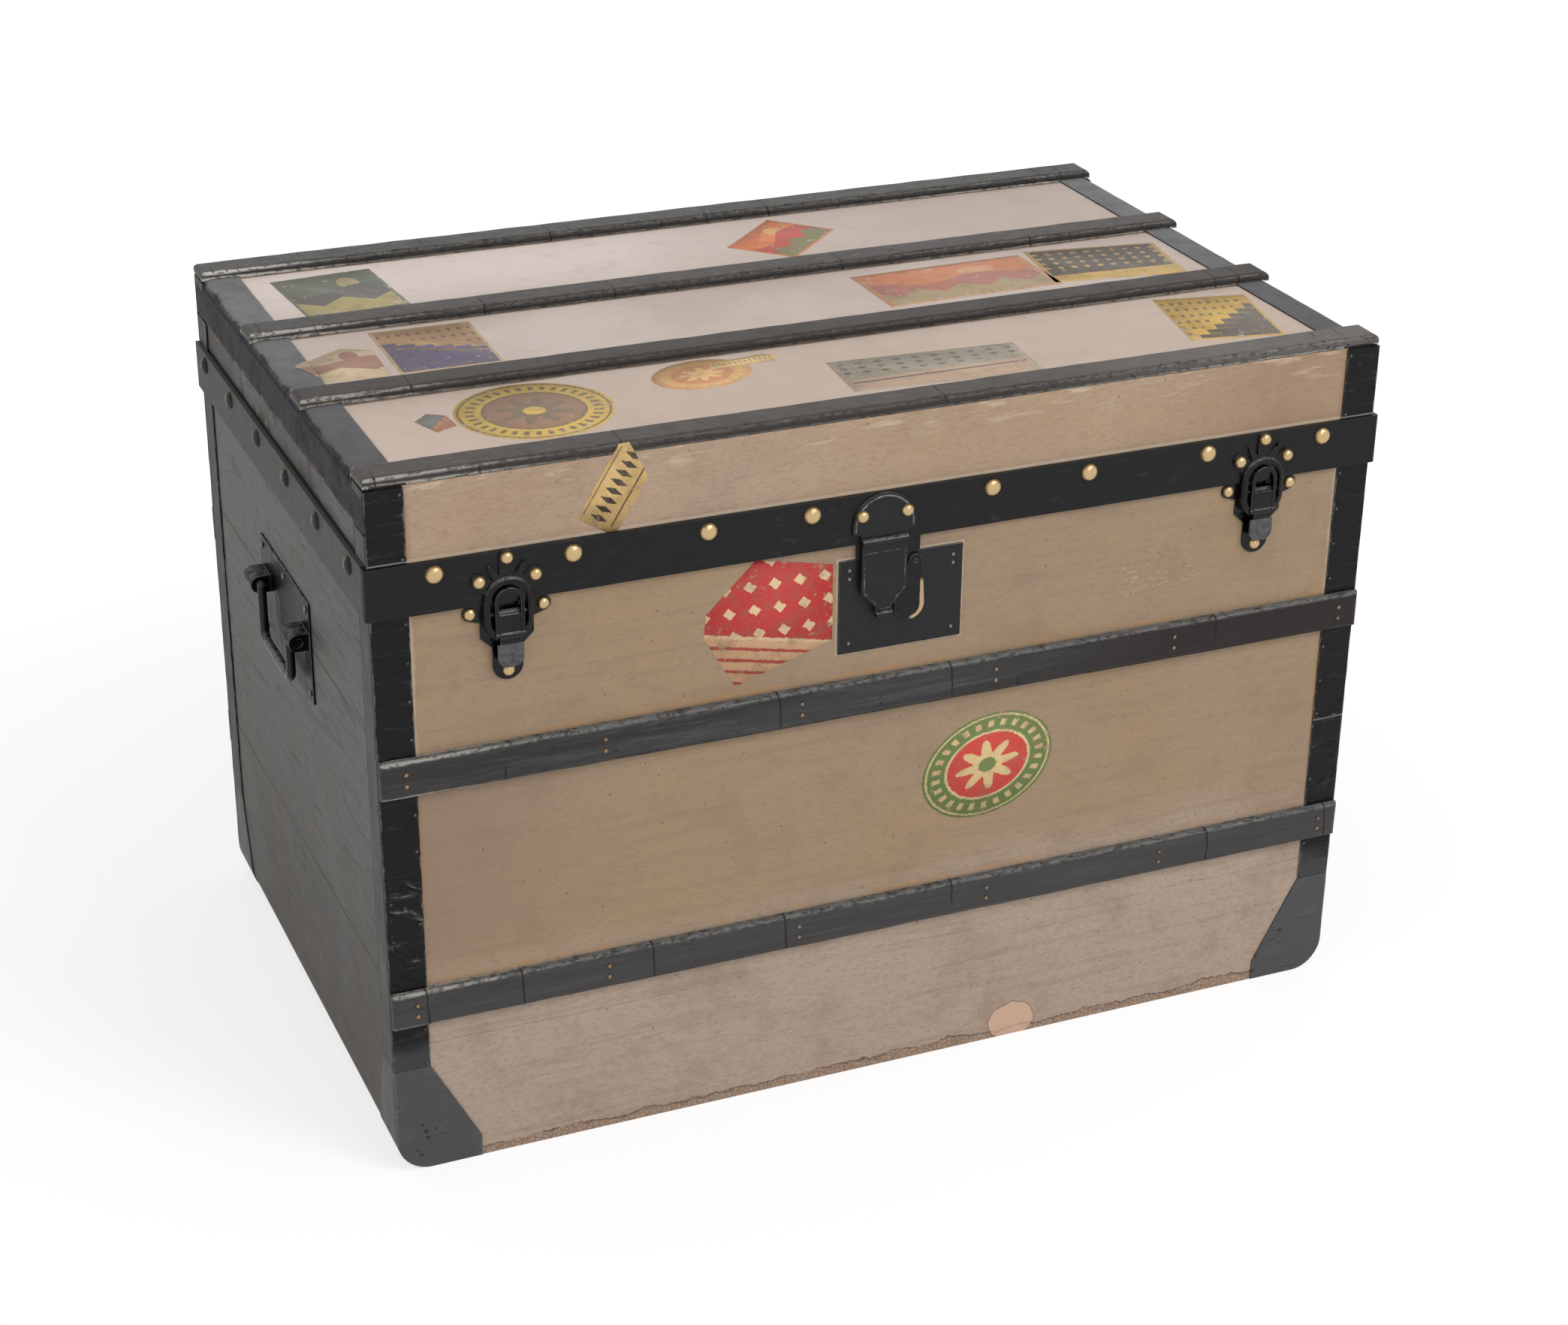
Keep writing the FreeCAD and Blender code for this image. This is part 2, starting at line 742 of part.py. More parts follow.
def catch(side, x):
    rim_wall = oval_rim(x)
    reach = oval_rise + overrun
    ring_way = front_block(
        x - ring_outer - side_gap,
        x + ring_outer + side_gap,
        ring_pivot_rise - ring_eye_radius - side_gap,
        reach,
        oval_low - oval_radius - overrun,
        oval_low,
    )
    rim_wall = rim_wall.cut(ring_way)
    below = front_block(-half_length, half_length, 0, reach, 0, seam_height - soft_gap)
    above = front_block(-half_length, half_length, band_rise, reach, seam_height + soft_gap, lid_top)

    pin_half = oval_radius - side_gap
    pin = cross_rod(x - pin_half, x + pin_half, lever_pivot_rise, lever_pivot_height, pivot_pin_radius)
    ears = [
        tapered((x, body_ear, oval_radius - oval_wall), (x + reach, body_ear, ear_radius), 0, catch_plate)
        for reach in (-body_ear_reach, body_ear_reach)
    ]
    shoulder = plate(
        [
            (x - body_shoulder_half, body_ear),
            (x - body_shoulder_half, body_shoulder_low),
            (x - body_neck_half, body_neck_top),
            (x - body_neck_half, body_tip),
            (x + body_neck_half, body_tip),
            (x + body_neck_half, body_neck_top),
            (x + body_shoulder_half, body_shoulder_low),
            (x + body_shoulder_half, body_ear),
        ],
        0,
        catch_plate,
    )
    tip = front_rod(x, body_tip, 0, catch_plate, body_neck_half)
    seat = oval_bar(x, oval_radius, 0, catch_plate)
    body_plate = join(shoulder, tip, seat, *ears).common(below)
    body_plate = join(body_plate, rim_wall.common(below)).cut(pin)
    save(side + "_catch_plate", body_plate)

    lid_ears = [
        tapered((x, oval_high, ear_radius), (x + reach, z, ear_radius), band_rise, lid_rise)
        for reach, z in lid_ear_places
    ]
    spurs = [
        tapered(
            (x + reach / 2, seam_height + spur_root_lift, spur_root_radius),
            (x + reach, seam_height + spur_lift, spur_radius),
            band_rise,
            lid_rise + catch_plate / 2,
        )
        for reach in (-spur_reach, spur_reach)
    ]
    lid_seat = oval_bar(x, oval_radius, band_rise, lid_rise)
    keeper_face = lid_rise + keeper_rise
    keeper = front_block(x - keeper_half, x + keeper_half, lid_rise, keeper_face, keeper_low, keeper_high)
    keeper_plate = join(lid_seat, *lid_ears, *spurs)
    keeper_plate = join(keeper_plate, rim_wall, keeper).common(above)
    save(side + "_keeper_plate", keeper_plate)

    arm_rise = ring_pivot_rise - lever_thick / 2
    barrel = cross_rod(x - lever_half, x + lever_half, lever_pivot_rise, lever_pivot_height, barrel_radius)
    arm = front_block(
        x - lever_half, x + lever_half, arm_rise, arm_rise + lever_thick, tongue_top, lever_pivot_height
    )
    root = front_block(
        x - lever_half,
        x + lever_half,
        lever_pivot_rise,
        arm_rise + lever_thick / 2,
        lever_pivot_height - barrel_radius / 2,
        lever_pivot_height,
    )
    tongue = front_block(
        x - tongue_half, x + tongue_half, arm_rise, arm_rise + lever_thick, tongue_low, tongue_top
    )
    lower_corners = [
        edge
        for edge in tongue.Edges
        if edge.BoundBox.YLength > lever_thick / 2 and edge.CenterOfMass.z < tongue_low + lever_thick / 2
    ]
    tongue = tongue.makeFillet(tongue_round, lower_corners)
    knuckle_radius = barrel_radius - side_gap
    knuckle = cross_rod(x - lever_half, x + lever_half, ring_pivot_rise, ring_pivot_height, knuckle_radius)
    pivot_bore_radius = pivot_pin_radius + running_gap
    pivot_bore = cross_rod(
        x - tongue_half, x + tongue_half, lever_pivot_rise, lever_pivot_height, pivot_bore_radius
    )
    ring_pin = cross_rod(
        x - ring_outer, x + ring_outer, ring_pivot_rise, ring_pivot_height, ring_pin_radius
    )
    lever = join(barrel, arm, root, tongue, knuckle).cut(pivot_bore).cut(ring_pin)
    save(side + "_catch_lever", lever)
    save(side + "_ring_pin", ring_pin)

    bow_height = ring_top - ring_outer
    bow = front_rod(x, bow_height, ring_low_rise, ring_low_rise + ring_bar, ring_outer)
    bow = bow.common(front_block(-half_length, half_length, 0, oval_rise + overrun, bow_height, lid_top))
    ring_face = ring_low_rise + ring_bar
    legs = front_block(
        x - ring_outer, x + ring_outer, ring_low_rise, ring_face, ring_pivot_height, bow_height
    )
    window = tapered(
        (x, bow_height, ring_inner_half),
        (x, ring_pivot_height - ring_outer, ring_inner_half),
        0,
        oval_rise + overrun,
    )
    eyes = [
        cross_rod(start, start + ring_bar, ring_pivot_rise, ring_pivot_height, ring_eye_radius)
        for start in (x - ring_outer, x + ring_inner_half)
    ]
    ring_bore = cross_rod(
        x - ring_outer - overrun,
        x + ring_outer + overrun,
        ring_pivot_rise,
        ring_pivot_height,
        ring_pin_radius + running_gap,
    )
    save(side + "_catch_ring", join(join(bow, legs).cut(window), *eyes).cut(ring_bore))

    body_nails = [
        front_dome(x + reach, catch_plate, z, catch_nail_radius, catch_nail_rise)
        for reach, z in body_nail_places
    ]
    lid_nails = [
        front_dome(x + reach, lid_rise, z, catch_nail_radius, catch_nail_rise)
        for reach, z in lid_ear_places
    ]
    return pin, body_nails, lid_nails


catch_pins = []
catch_nails = []
lid_nails = []
for side, x in (("left", -catch_share * half_length), ("right", catch_share * half_length)):
    pin, on_body, on_lid = catch(side, x)
    catch_pins.append(pin)
    catch_nails += on_body
    lid_nails += on_lid
save("catch_pins", *catch_pins)
save("catch_nails", *catch_nails)

# Hasp: a plate on the band, and a tongue that hangs from it over the lock
hasp_plate_centre = seam_height + hasp_plate_lift
hasp_tongue_half = hasp_knuckle_half - hasp_tongue_inset
hasp_tongue_low = seam_height - hasp_tongue_drop
hasp_taper_low = seam_height - hasp_taper_drop
hasp_tip = seam_height - hasp_tip_drop
cover_inner = lock_plate_thick + cover_lift
cover_face = cover_inner + cover_thick
hasp_tongue_inner = cover_face + cover_clear
hasp_start = hasp_centre - hasp_knuckle_half
hasp_end = hasp_centre + hasp_knuckle_half
hasp_third = 2 * hasp_knuckle_half / 3
knuckle_cuts = [
    cross_rod(
        hasp_start + part * hasp_third,
        hasp_start + (part + 1) * hasp_third,
        hasp_axis_rise,
        hasp_axis_height,
        hasp_knuckle_radius + soft_gap,
    )
    for part in range(3)
]


def hasp_knuckle(part):
    start = hasp_start + part * hasp_third + knuckle_gap
    end = start + hasp_third - 2 * knuckle_gap
    return cross_rod(start, end, hasp_axis_rise, hasp_axis_height, hasp_knuckle_radius)


hasp_pin = cross_rod(hasp_start, hasp_end, hasp_axis_rise, hasp_axis_height, hasp_pin_radius)
hasp_bore = cross_rod(
    hasp_start - overrun,
    hasp_end + overrun,
    hasp_axis_rise,
    hasp_axis_height,
    hasp_pin_radius + running_gap,
)
hasp_face = band_rise + hasp_plate_thick
plate_head = front_rod(hasp_centre, hasp_plate_centre, band_rise, hasp_face, hasp_plate_radius)
plate_head = plate_head.common(
    front_block(-half_length, half_length, 0, hasp_face, seam_height + hasp_plate_foot, lid_top)
)
plate_foot = plate(
    [
        (hasp_centre - hasp_knuckle_half, hasp_axis_height),
        (hasp_centre + hasp_knuckle_half, hasp_axis_height),
        (hasp_centre + hasp_knuckle_half, hasp_plate_centre),
        (hasp_centre - hasp_knuckle_half, hasp_plate_centre),
    ],
    band_rise,
    hasp_face,
)
hasp_plate = join(plate_head, plate_foot).cut(knuckle_cuts[1])
hasp_plate = join(hasp_plate, hasp_knuckle(0), hasp_knuckle(2)).cut(hasp_bore)
save("hasp_plate", hasp_plate)
save("hasp_pin", hasp_pin)
tongue_outer = hasp_tongue_inner + hasp_tongue_thick
hasp_tongue = plate(
    [
        (hasp_centre - hasp_tongue_half, hasp_axis_height),
        (hasp_centre - hasp_tongue_half, hasp_tongue_low),
        (hasp_centre - hasp_taper_half, hasp_taper_low),
        (hasp_centre - hasp_taper_half, hasp_tip),
        (hasp_centre + hasp_taper_half, hasp_tip),
        (hasp_centre + hasp_taper_half, hasp_taper_low),
        (hasp_centre + hasp_tongue_half, hasp_tongue_low),
        (hasp_centre + hasp_tongue_half, hasp_axis_height),
    ],
    hasp_tongue_inner,
    tongue_outer,
)
hasp_tongue = hasp_tongue.cut(knuckle_cuts[0]).cut(knuckle_cuts[2])
hasp_tongue = hasp_tongue.cut(
    front_block(
        hasp_start - overrun,
        hasp_end + overrun,
        0,
        hasp_tongue_inner + overrun,
        hasp_axis_height,
        lid_top,
    )
)
staple = front_block(
    hasp_centre - staple_thick / 2,
    hasp_centre + staple_thick / 2,
    -staple_depth,
    hasp_tongue_inner + hasp_tongue_thick / 2,
    staple_low,
    staple_high,
)
staple_eye = front_block(
    hasp_centre - staple_thick,
    hasp_centre + staple_thick,
    staple_end_wall - staple_depth,
    -bolt_front + side_gap,
    staple_low + staple_wall,
    staple_high - staple_wall,
)
finger_lip = cross_rod(
    hasp_centre - hasp_taper_half,
    hasp_centre + hasp_taper_half,
    tongue_outer,
    hasp_tip + hasp_tongue_thick,
    hasp_tongue_thick,
)
finger_lip = finger_lip.common(
    front_block(-half_length, half_length, hasp_tongue_inner, tongue_outer + overrun, 0, lid_top)
)
hasp_tongue = join(hasp_tongue, hasp_knuckle(1), staple.cut(staple_eye), finger_lip).cut(hasp_bore)
save("hasp_tongue", hasp_tongue)
hasp_nail_height = seam_height + hasp_nail_lift
lid_nails += [
    front_dome(hasp_centre + reach, hasp_face, hasp_nail_height, hasp_nail_radius, hasp_nail_rise)
    for reach in (-hasp_nail_reach, hasp_nail_reach)
]
save("lid_fitting_nails", *lid_nails)

# Lock plate and its nails
keyhole_x = lock_centre + keyhole_reach
keyhole_height = seam_height - keyhole_drop
cover_pivot_x = keyhole_x + cover_pivot_reach
cover_pivot_height = lock_high - cover_pivot_inset
keyhole = join(
    front_rod(keyhole_x, keyhole_height, -overrun, lock_plate_thick + overrun, keyhole_radius),
    front_block(
        keyhole_x - keyhole_slot_half,
        keyhole_x + keyhole_slot_half,
        -overrun,
        lock_plate_thick + overrun,
        keyhole_height - keyhole_slot_length,
        keyhole_height,
    ),
)
lock_plate = front_block(lock_left, lock_right, 0, lock_plate_thick, lock_low, lock_high)
lock_plate = without(lock_plate, [keyhole, staple_way])
post_foot = lock_plate_thick / 2
cover_post = front_rod(cover_pivot_x, cover_pivot_height, post_foot, cover_face, cover_pivot_radius)
cover_seat = front_rod(
    cover_pivot_x, cover_pivot_height, lock_plate_thick, cover_inner - soft_gap, cover_rivet_radius
)
save("lock_plate", join(lock_plate, cover_post, cover_seat))
lock_nails = []
for x in (lock_left + lock_nail_inset, lock_right - lock_nail_inset):
    low_nail = lock_low + lock_nail_inset
    high_nail = lock_high - lock_nail_inset
    for z in (low_nail, high_nail - lock_nail_split, high_nail):
        lock_nails.append(front_dome(x, lock_plate_thick, z, lock_nail_radius, lock_nail_rise))
save("lock_nails", *lock_nails)

# Keyhole cover: a drop that swings on a post
drop = tapered(
    (cover_pivot_x, cover_pivot_height, cover_top_radius),
    (keyhole_x - cover_drop_reach, keyhole_height - cover_drop_sag, cover_drop_radius),
    cover_inner,
    cover_face,
)
cover_bore_radius = cover_pivot_radius + running_gap
cover_bore = front_rod(cover_pivot_x, cover_pivot_height, 0, cover_face + overrun, cover_bore_radius)
save("keyhole_cover", drop.cut(cover_bore))

# End handles: plate with two saddles, and a bail that hangs in them
saddle_radius = bail_radius + saddle_wall
bail_x = end_x + saddle_foot + saddle_radius
bail_axis_height = seam_height - handle_drop
bail_low = bail_axis_height - bail_drop
saddle_outer = handle_plate_half - saddle_inset
saddle_inner = saddle_outer - saddle_length
bail_half = saddle_inner - bail_gap - bail_radius
handle_plate_low = bail_axis_height - handle_plate_below
handle_plate_high = bail_axis_height + handle_plate_above
plate_x = end_x + handle_plate_thick
handle_plate = block(
    end_x, plate_x, -handle_plate_half, handle_plate_half, handle_plate_low, handle_plate_high
)
saddles = []
for y in (-saddle_outer, saddle_inner):
    length = saddle_outer - saddle_inner
    round_part = rod(V(bail_x, y, bail_axis_height), V(0, length, 0), saddle_radius)
    foot = block(
        end_x, bail_x, y, y + length, bail_axis_height - saddle_radius, bail_axis_height + saddle_radius
    )
    saddles.append(join(round_part, foot))
bail_bore = rod(
    V(bail_x, -saddle_outer - overrun, bail_axis_height),
    V(0, 2 * (saddle_outer + overrun), 0),
    bail_radius + running_gap,
)
handle_plate = join(handle_plate, *saddles).cut(bail_bore)


def bail():
    """The bail: two stubs, two legs and a grip, bent from one bar."""
    stub = saddle_inner + stub_share * saddle_length
    top, low = bail_axis_height, bail_low
    bend = bail_bend
    turn = bend * math.sqrt(0.5)
    pieces = []
    for side in (1, -1):
        leg = side * bail_half
        near = leg - side * bend
        pieces.append(rod(V(bail_x, leg, top), V(0, side * (stub - bail_half), 0), bail_radius))
        pieces.append(Part.makeSphere(bail_radius, V(bail_x, leg, top)))
        pieces.append(rod(V(bail_x, leg, top), V(0, 0, low + bend - top), bail_radius))
        arc = Part.Arc(
            V(bail_x, leg, low + bend),
            V(bail_x, near + side * turn, low + bend - turn),
            V(bail_x, near, low),
        )
        section = Part.Wire(Part.makeCircle(bail_radius, V(bail_x, leg, low + bend), V(0, 0, 1)))
        pieces.append(Part.Wire(arc.toShape()).makePipeShell([section], True, False))
    grip_half = bail_half - bend
    pieces.append(rod(V(bail_x, -grip_half, low), V(0, 2 * grip_half, 0), bail_radius))
    return join(*pieces)


right_bail = bail()
save("right_handle_plate", handle_plate)
save("left_handle_plate", mirror_x(handle_plate))
save("right_handle_bail", right_bail)
save("left_handle_bail", mirror_x(right_bail))
handle_rivets = []
rivet_span = handle_plate_half - handle_rivet_inset
for y in (-rivet_span, 0, rivet_span):
    for z in (handle_plate_low + handle_rivet_inset, handle_plate_high - handle_rivet_inset):
        handle_rivets.append(dome(V(plate_x, y, z), V(1, 0, 0), handle_rivet_radius, handle_rivet_rise))
handle_rivets += [mirror_x(rivet) for rivet in handle_rivets]
save("handle_rivets", *handle_rivets)


def back_rod(x0, x1, radius):
    return rod(V(x0, hinge_axis_y, seam_height), V(x1 - x0, 0, 0), radius)


def hinge(x):
    """Body leaf, lid leaf and pin of one back hinge."""
    third = 2 * hinge_half / 3
    starts = [x - hinge_half + part * third for part in range(3)]
    bore = back_rod(x - hinge_half - overrun, x + hinge_half + overrun, hinge_pin_radius + running_gap)
    leaves = []
    for z0, z1, own in (
        (seam_height - hinge_leaf_height, seam_height, (0, 2)),
        (seam_height, seam_height + hinge_leaf_height, (1,)),
    ):
        leaf = block(x - hinge_half, x + hinge_half, face_y, face_y + hinge_leaf, z0, z1)
        for part in range(3):
            if part not in own:
                clear_radius = hinge_knuckle_radius + soft_gap
                leaf = leaf.cut(back_rod(starts[part], starts[part] + third, clear_radius))
        knuckles = []
        for part in own:
            end = starts[part] + third - knuckle_gap
            knuckles.append(back_rod(starts[part] + knuckle_gap, end, hinge_knuckle_radius))
        leaves.append(join(leaf, *knuckles).cut(bore))
    pin = back_rod(x - hinge_half, x + hinge_half, hinge_pin_radius)
    screws = []
    for sign in (-1, 1):
        for share in (-hinge_screw_side_share, hinge_screw_side_share):
            level = seam_height + sign * hinge_screw_level_share * hinge_leaf_height
            place = V(x + share * hinge_half, face_y + hinge_leaf, level)
            screws.append(dome(place, V(0, 1, 0), hinge_screw_radius, hinge_screw_rise))
    leaves[0] = join(leaves[0], *screws[:2])
    leaves[1] = join(leaves[1], *screws[2:])
    return leaves[0], leaves[1], pin


hinges = [hinge(share * half_length) for share in hinge_shares]
save("hinge_body_leaves", *[parts[0] for parts in hinges])
save("hinge_lid_leaves", *[parts[1] for parts in hinges])
save("hinge_pins", *[parts[2] for parts in hinges])


def stay():
    """A slotted bar that hangs from the lid along the right end wall."""
    closed_span = 2 * stay_arm * math.sin(math.radians(stay_lean))
    open_span = 2 * stay_arm * math.sin(math.radians(stay_lean + lid_open / 2))
    end_z = rivet_z - open_span - stay_end
    half = stay_width / 2
    bar = block(stay_inner, stay_outer, stay_y - half, stay_y + half, end_z, rivet_z)
    bar = join(bar, rod(V(stay_inner, stay_y, rivet_z), V(stay_thick, 0, 0), half))
    slot_half = stay_stud_radius + side_gap
    slot_ends = (rivet_z - closed_span, rivet_z - open_span)
    slot = block(
        stay_inner - overrun,
        stay_outer + overrun,
        stay_y - slot_half,
        stay_y + slot_half,
        slot_ends[1],
        slot_ends[0],
    )
    reach = V(stay_thick + 2 * overrun, 0, 0)
    rounds = [rod(V(stay_inner - overrun, stay_y, z), reach, slot_half) for z in slot_ends]
    hole = rod(V(stay_inner - overrun, stay_y, rivet_z), reach, stay_rivet_radius + running_gap)
    return bar.cut(join(slot, *rounds)).cut(hole)


right_stay = stay()
save("right_stay", right_stay)
save("left_stay", mirror_x(right_stay))
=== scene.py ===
import json
import math
import random

import bmesh
import bpy
from mathutils import Matrix, Vector, noise


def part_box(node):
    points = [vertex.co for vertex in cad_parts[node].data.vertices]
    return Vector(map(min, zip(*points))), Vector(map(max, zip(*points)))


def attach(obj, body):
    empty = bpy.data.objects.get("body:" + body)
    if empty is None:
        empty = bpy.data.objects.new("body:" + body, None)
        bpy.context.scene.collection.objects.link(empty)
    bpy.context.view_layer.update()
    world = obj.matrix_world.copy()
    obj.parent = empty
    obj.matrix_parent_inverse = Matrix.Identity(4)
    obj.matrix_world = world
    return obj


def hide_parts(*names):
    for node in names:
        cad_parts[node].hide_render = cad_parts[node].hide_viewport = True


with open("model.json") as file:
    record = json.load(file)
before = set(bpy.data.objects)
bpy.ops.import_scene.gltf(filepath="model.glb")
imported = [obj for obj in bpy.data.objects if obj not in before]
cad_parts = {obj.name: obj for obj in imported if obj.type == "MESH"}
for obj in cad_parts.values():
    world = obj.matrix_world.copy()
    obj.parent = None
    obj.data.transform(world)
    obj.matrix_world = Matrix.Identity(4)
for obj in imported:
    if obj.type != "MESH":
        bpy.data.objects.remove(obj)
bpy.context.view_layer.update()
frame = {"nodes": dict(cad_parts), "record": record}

print("frame loaded:", len(frame["nodes"]), "nodes")

scene = bpy.context.scene
scene.view_settings.view_transform = "Standard"
bodyOf = {node: body for body, nodes in frame["record"]["behaviour"]["bodies"].items() for node in nodes}

# Studio: the camera stands where the photograph was taken from
studio = {
    "cameraPlace": (-0.98206, -2.32987, 1.49157),
    "cameraForward": (0.354708, 0.828028, -0.434226),
    "cameraRight": (0.921042, -0.389336, 0.009948),
    "lens": 69.17,
    "worldLevel": 0.62,
    "keyLevel": 58.0,
    "keyPlace": (1.3, -2.6, 3.2),
    "keySize": 1.3,
    "fillLevel": 10.0,
    "fillPlace": (-3.4, -1.2, 1.6),
    "fillSize": 1.6,
    "sparkLevel": 9.0,
    "sparkPlace": (0.5, -3.6, 2.0),
    "sparkSize": 0.22,
    "floorGlowNear": 0.66,
    "floorGlowReach": (0.5, 2.0),
    "floorStrength": 1.1,
    "floorSize": 14.0,
}


def rgb(red, green, blue):
    # a colour as an eyedropper reads it, made linear
    parts = [part / 255 for part in (red, green, blue)]
    return tuple(p / 12.92 if p <= 0.04045 else ((p + 0.055) / 1.055) ** 2.4 for p in parts) + (1.0,)


class Value:
    # a socket that takes part in sums
    def __init__(self, nodes, socket):
        self.nodes = nodes
        self.socket = socket

    def also(self, out):
        return Value(self.nodes, self.socket.node.outputs[out])

    def maths(self, operation, one, two=None):
        return self.nodes.add("Math", {"operation": operation}, {0: one, 1: two})

    def __add__(self, other):
        return self.maths("ADD", self, other)

    def __radd__(self, other):
        return self.maths("ADD", other, self)

    def __sub__(self, other):
        return self.maths("SUBTRACT", self, other)

    def __rsub__(self, other):
        return self.maths("SUBTRACT", other, self)

    def __mul__(self, other):
        return self.maths("MULTIPLY", self, other)

    def __rmul__(self, other):
        return self.maths("MULTIPLY", other, self)

    def __truediv__(self, other):
        return self.maths("DIVIDE", self, other)

    def __abs__(self):
        return self.maths("ABSOLUTE", self)

    def __mod__(self, other):
        return self.maths("FLOORED_MODULO", self, other)

    def sine(self):
        return self.maths("SINE", self)

    def root(self):
        return self.maths("SQRT", self)

    def top(self, other):
        return self.maths("MAXIMUM", self, other)

    def least(self, other):
        return self.maths("MINIMUM", self, other)

    def fade(self, low, high):
        # 0 at low, 1 at high, smooth between, and low may be the larger
        return self.nodes.add("MapRange", {"interpolation_type": "SMOOTHSTEP"}, {0: self, 1: low, 2: high})

    def band(self, low, high, soft):
        return self.fade(low - soft, low + soft) * self.fade(high + soft, high - soft)


class Nodes:
    # a node tree, and short ways to add to it
    def __init__(self, tree):
        self.tree = tree

    def fill(self, made, inputs):
        for key, value in inputs.items():
            if isinstance(value, Value):
                self.tree.links.new(value.socket, made.inputs[key])
            elif value is not None:
                made.inputs[key].default_value = value

    def add(self, kind, settings, inputs, out=0):
        made = self.tree.nodes.new("ShaderNode" + kind)
        for key, setting in settings.items():
            setattr(made, key, setting)
        self.fill(made, inputs)
        return Value(self, made.outputs[out])

    def seen(self):
        # 1 where the camera sees the surface, also in a reflection or through something
        rays = self.add("LightPath", {}, {}, "Is Camera Ray")
        return rays.top(rays.also("Is Glossy Ray")).top(rays.also("Is Transmission Ray"))

    def show(self, kind, share, lit, plain):
        shown = self.add("MixShader", {}, {0: share, 1: lit, 2: plain})
        self.fill(self.tree.nodes[kind + " Output"], {"Surface": shown})


class Paint(Nodes):
    # a material, with the colour and the bumps laid on it so far
    def __init__(self, name):
        self.material = bpy.data.materials.new(name)
        self.material.use_nodes = True
        super().__init__(self.material.node_tree)
        self.shader = self.tree.nodes["Principled BSDF"]
        self.point = self.add("TexCoord", {}, {}, "Object")
        self.x = self.add("SeparateXYZ", {}, {0: self.point})
        self.y, self.z = self.x.also(1), self.x.also(2)
        # facing turns with the piece, so the paint stays put when the lid opens
        self.faceX = self.add("SeparateXYZ", {}, {0: self.point.also("Normal")})
        self.faceY, self.faceZ = self.faceX.also(1), self.faceX.also(2)
        self.wear = self.add("Attribute", {"attribute_name": "wear"}, {}, "Fac")
        self.colour = self.normal = None

    def cloud(self, scale, detail=3.0, rough=0.55, point=None, warp=0.0):
        inputs = {"Vector": point or self.point, "Scale": scale, "Detail": detail}
        return self.add("TexNoise", {}, {**inputs, "Roughness": rough, "Distortion": warp})

    def streaks(self, scales, detail, rough, warp=0.0):
        point = self.add("VectorMath", {"operation": "MULTIPLY"}, {0: self.point, 1: scales})
        return self.cloud(1.0, detail, rough, point, warp)

    def cells(self, scale, feature="F1", jitter=1.0):
        inputs = {"Vector": self.point, "Scale": scale, "Randomness": jitter}
        return self.add("TexVoronoi", {"feature": feature}, inputs)

    def mix(self, factor, one, two):
        return self.add("Mix", {"data_type": "RGBA"}, {0: factor, 6: one, 7: two}, 2)

    def lay(self, share, tone):
        self.colour = self.mix(share, self.colour, tone)

    def bump(self, height, strength, distance):
        inputs = {"Height": height, "Strength": strength, "Distance": distance, "Normal": self.normal}
        self.normal = self.add("Bump", {}, inputs)

    def finish(self, rough, metal=0.0, specular=0.5):
        inputs = {"Base Color": self.colour, "Roughness": rough, "Metallic": metal, "Normal": self.normal}
        inputs["Specular IOR Level"] = specular
        self.fill(self.shader, inputs)
        return self.material


def buildStudio():
    forward = Vector(studio["cameraForward"]).normalized()
    right = Vector(studio["cameraRight"]).normalized()
    up = right.cross(forward)
    data = bpy.data.cameras.new("camera")
    data.lens = studio["lens"]
    data.sensor_width = 36.0
    data.sensor_fit = "HORIZONTAL"
    camera = bpy.data.objects.new("camera", data)
    turn = Matrix((right, up, -forward)).transposed().to_4x4()
    camera.matrix_world = Matrix.Translation(studio["cameraPlace"]) @ turn
    scene.collection.objects.link(camera)
    scene.camera = camera

    for name in ("key", "fill", "spark"):
        lamp = bpy.data.lights.new(name, "AREA")
        lamp.energy = studio[name + "Level"]
        lamp.size = studio[name + "Size"]
        holder = bpy.data.objects.new(name, lamp)
        place = Vector(studio[name + "Place"])
        aim = (Vector((0, 0, 0.3)) - place).to_track_quat("-Z", "Y")
        holder.matrix_world = Matrix.Translation(place) @ aim.to_matrix().to_4x4()
        scene.collection.objects.link(holder)

    world = bpy.data.worlds.new("studio")
    world.use_nodes = True
    scene.world = world
    # the camera sees plain white behind the trunk, brighter than what lights it
    white = (1, 1, 1, 1)
    sky = Nodes(world.node_tree)
    light = sky.add("Background", {}, {"Color": white, "Strength": studio["worldLevel"]})
    sky.show("World", sky.seen(), light, sky.add("Background", {}, {"Color": white}))

    shape = bmesh.new()
    bmesh.ops.create_grid(shape, x_segments=1, y_segments=1, size=studio["floorSize"])
    mesh = bpy.data.meshes.new("floor")
    shape.to_mesh(mesh)
    shape.free()
    floor = bpy.data.objects.new("floor", mesh)
    scene.collection.objects.link(floor)
    paint = Paint("pale floor")
    paint.colour = rgb(252, 252, 252)
    paint.finish(0.9, specular=0.0)
    glow = paint.add("Emission", {}, {"Color": white, "Strength": studio["floorStrength"]})
    near = studio["floorGlowNear"]
    reach = (paint.x * paint.x + paint.y * paint.y).root()
    share = reach.fade(*studio["floorGlowReach"]) * (1 - near) + near
    paint.show("Material", paint.seen() * share, Value(paint, paint.shader.outputs[0]), glow)
    mesh.materials.append(paint.material)


buildStudio()
print("studio ready")

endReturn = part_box("front_corner_bindings")[1].y    # how far the strips reach along the ends

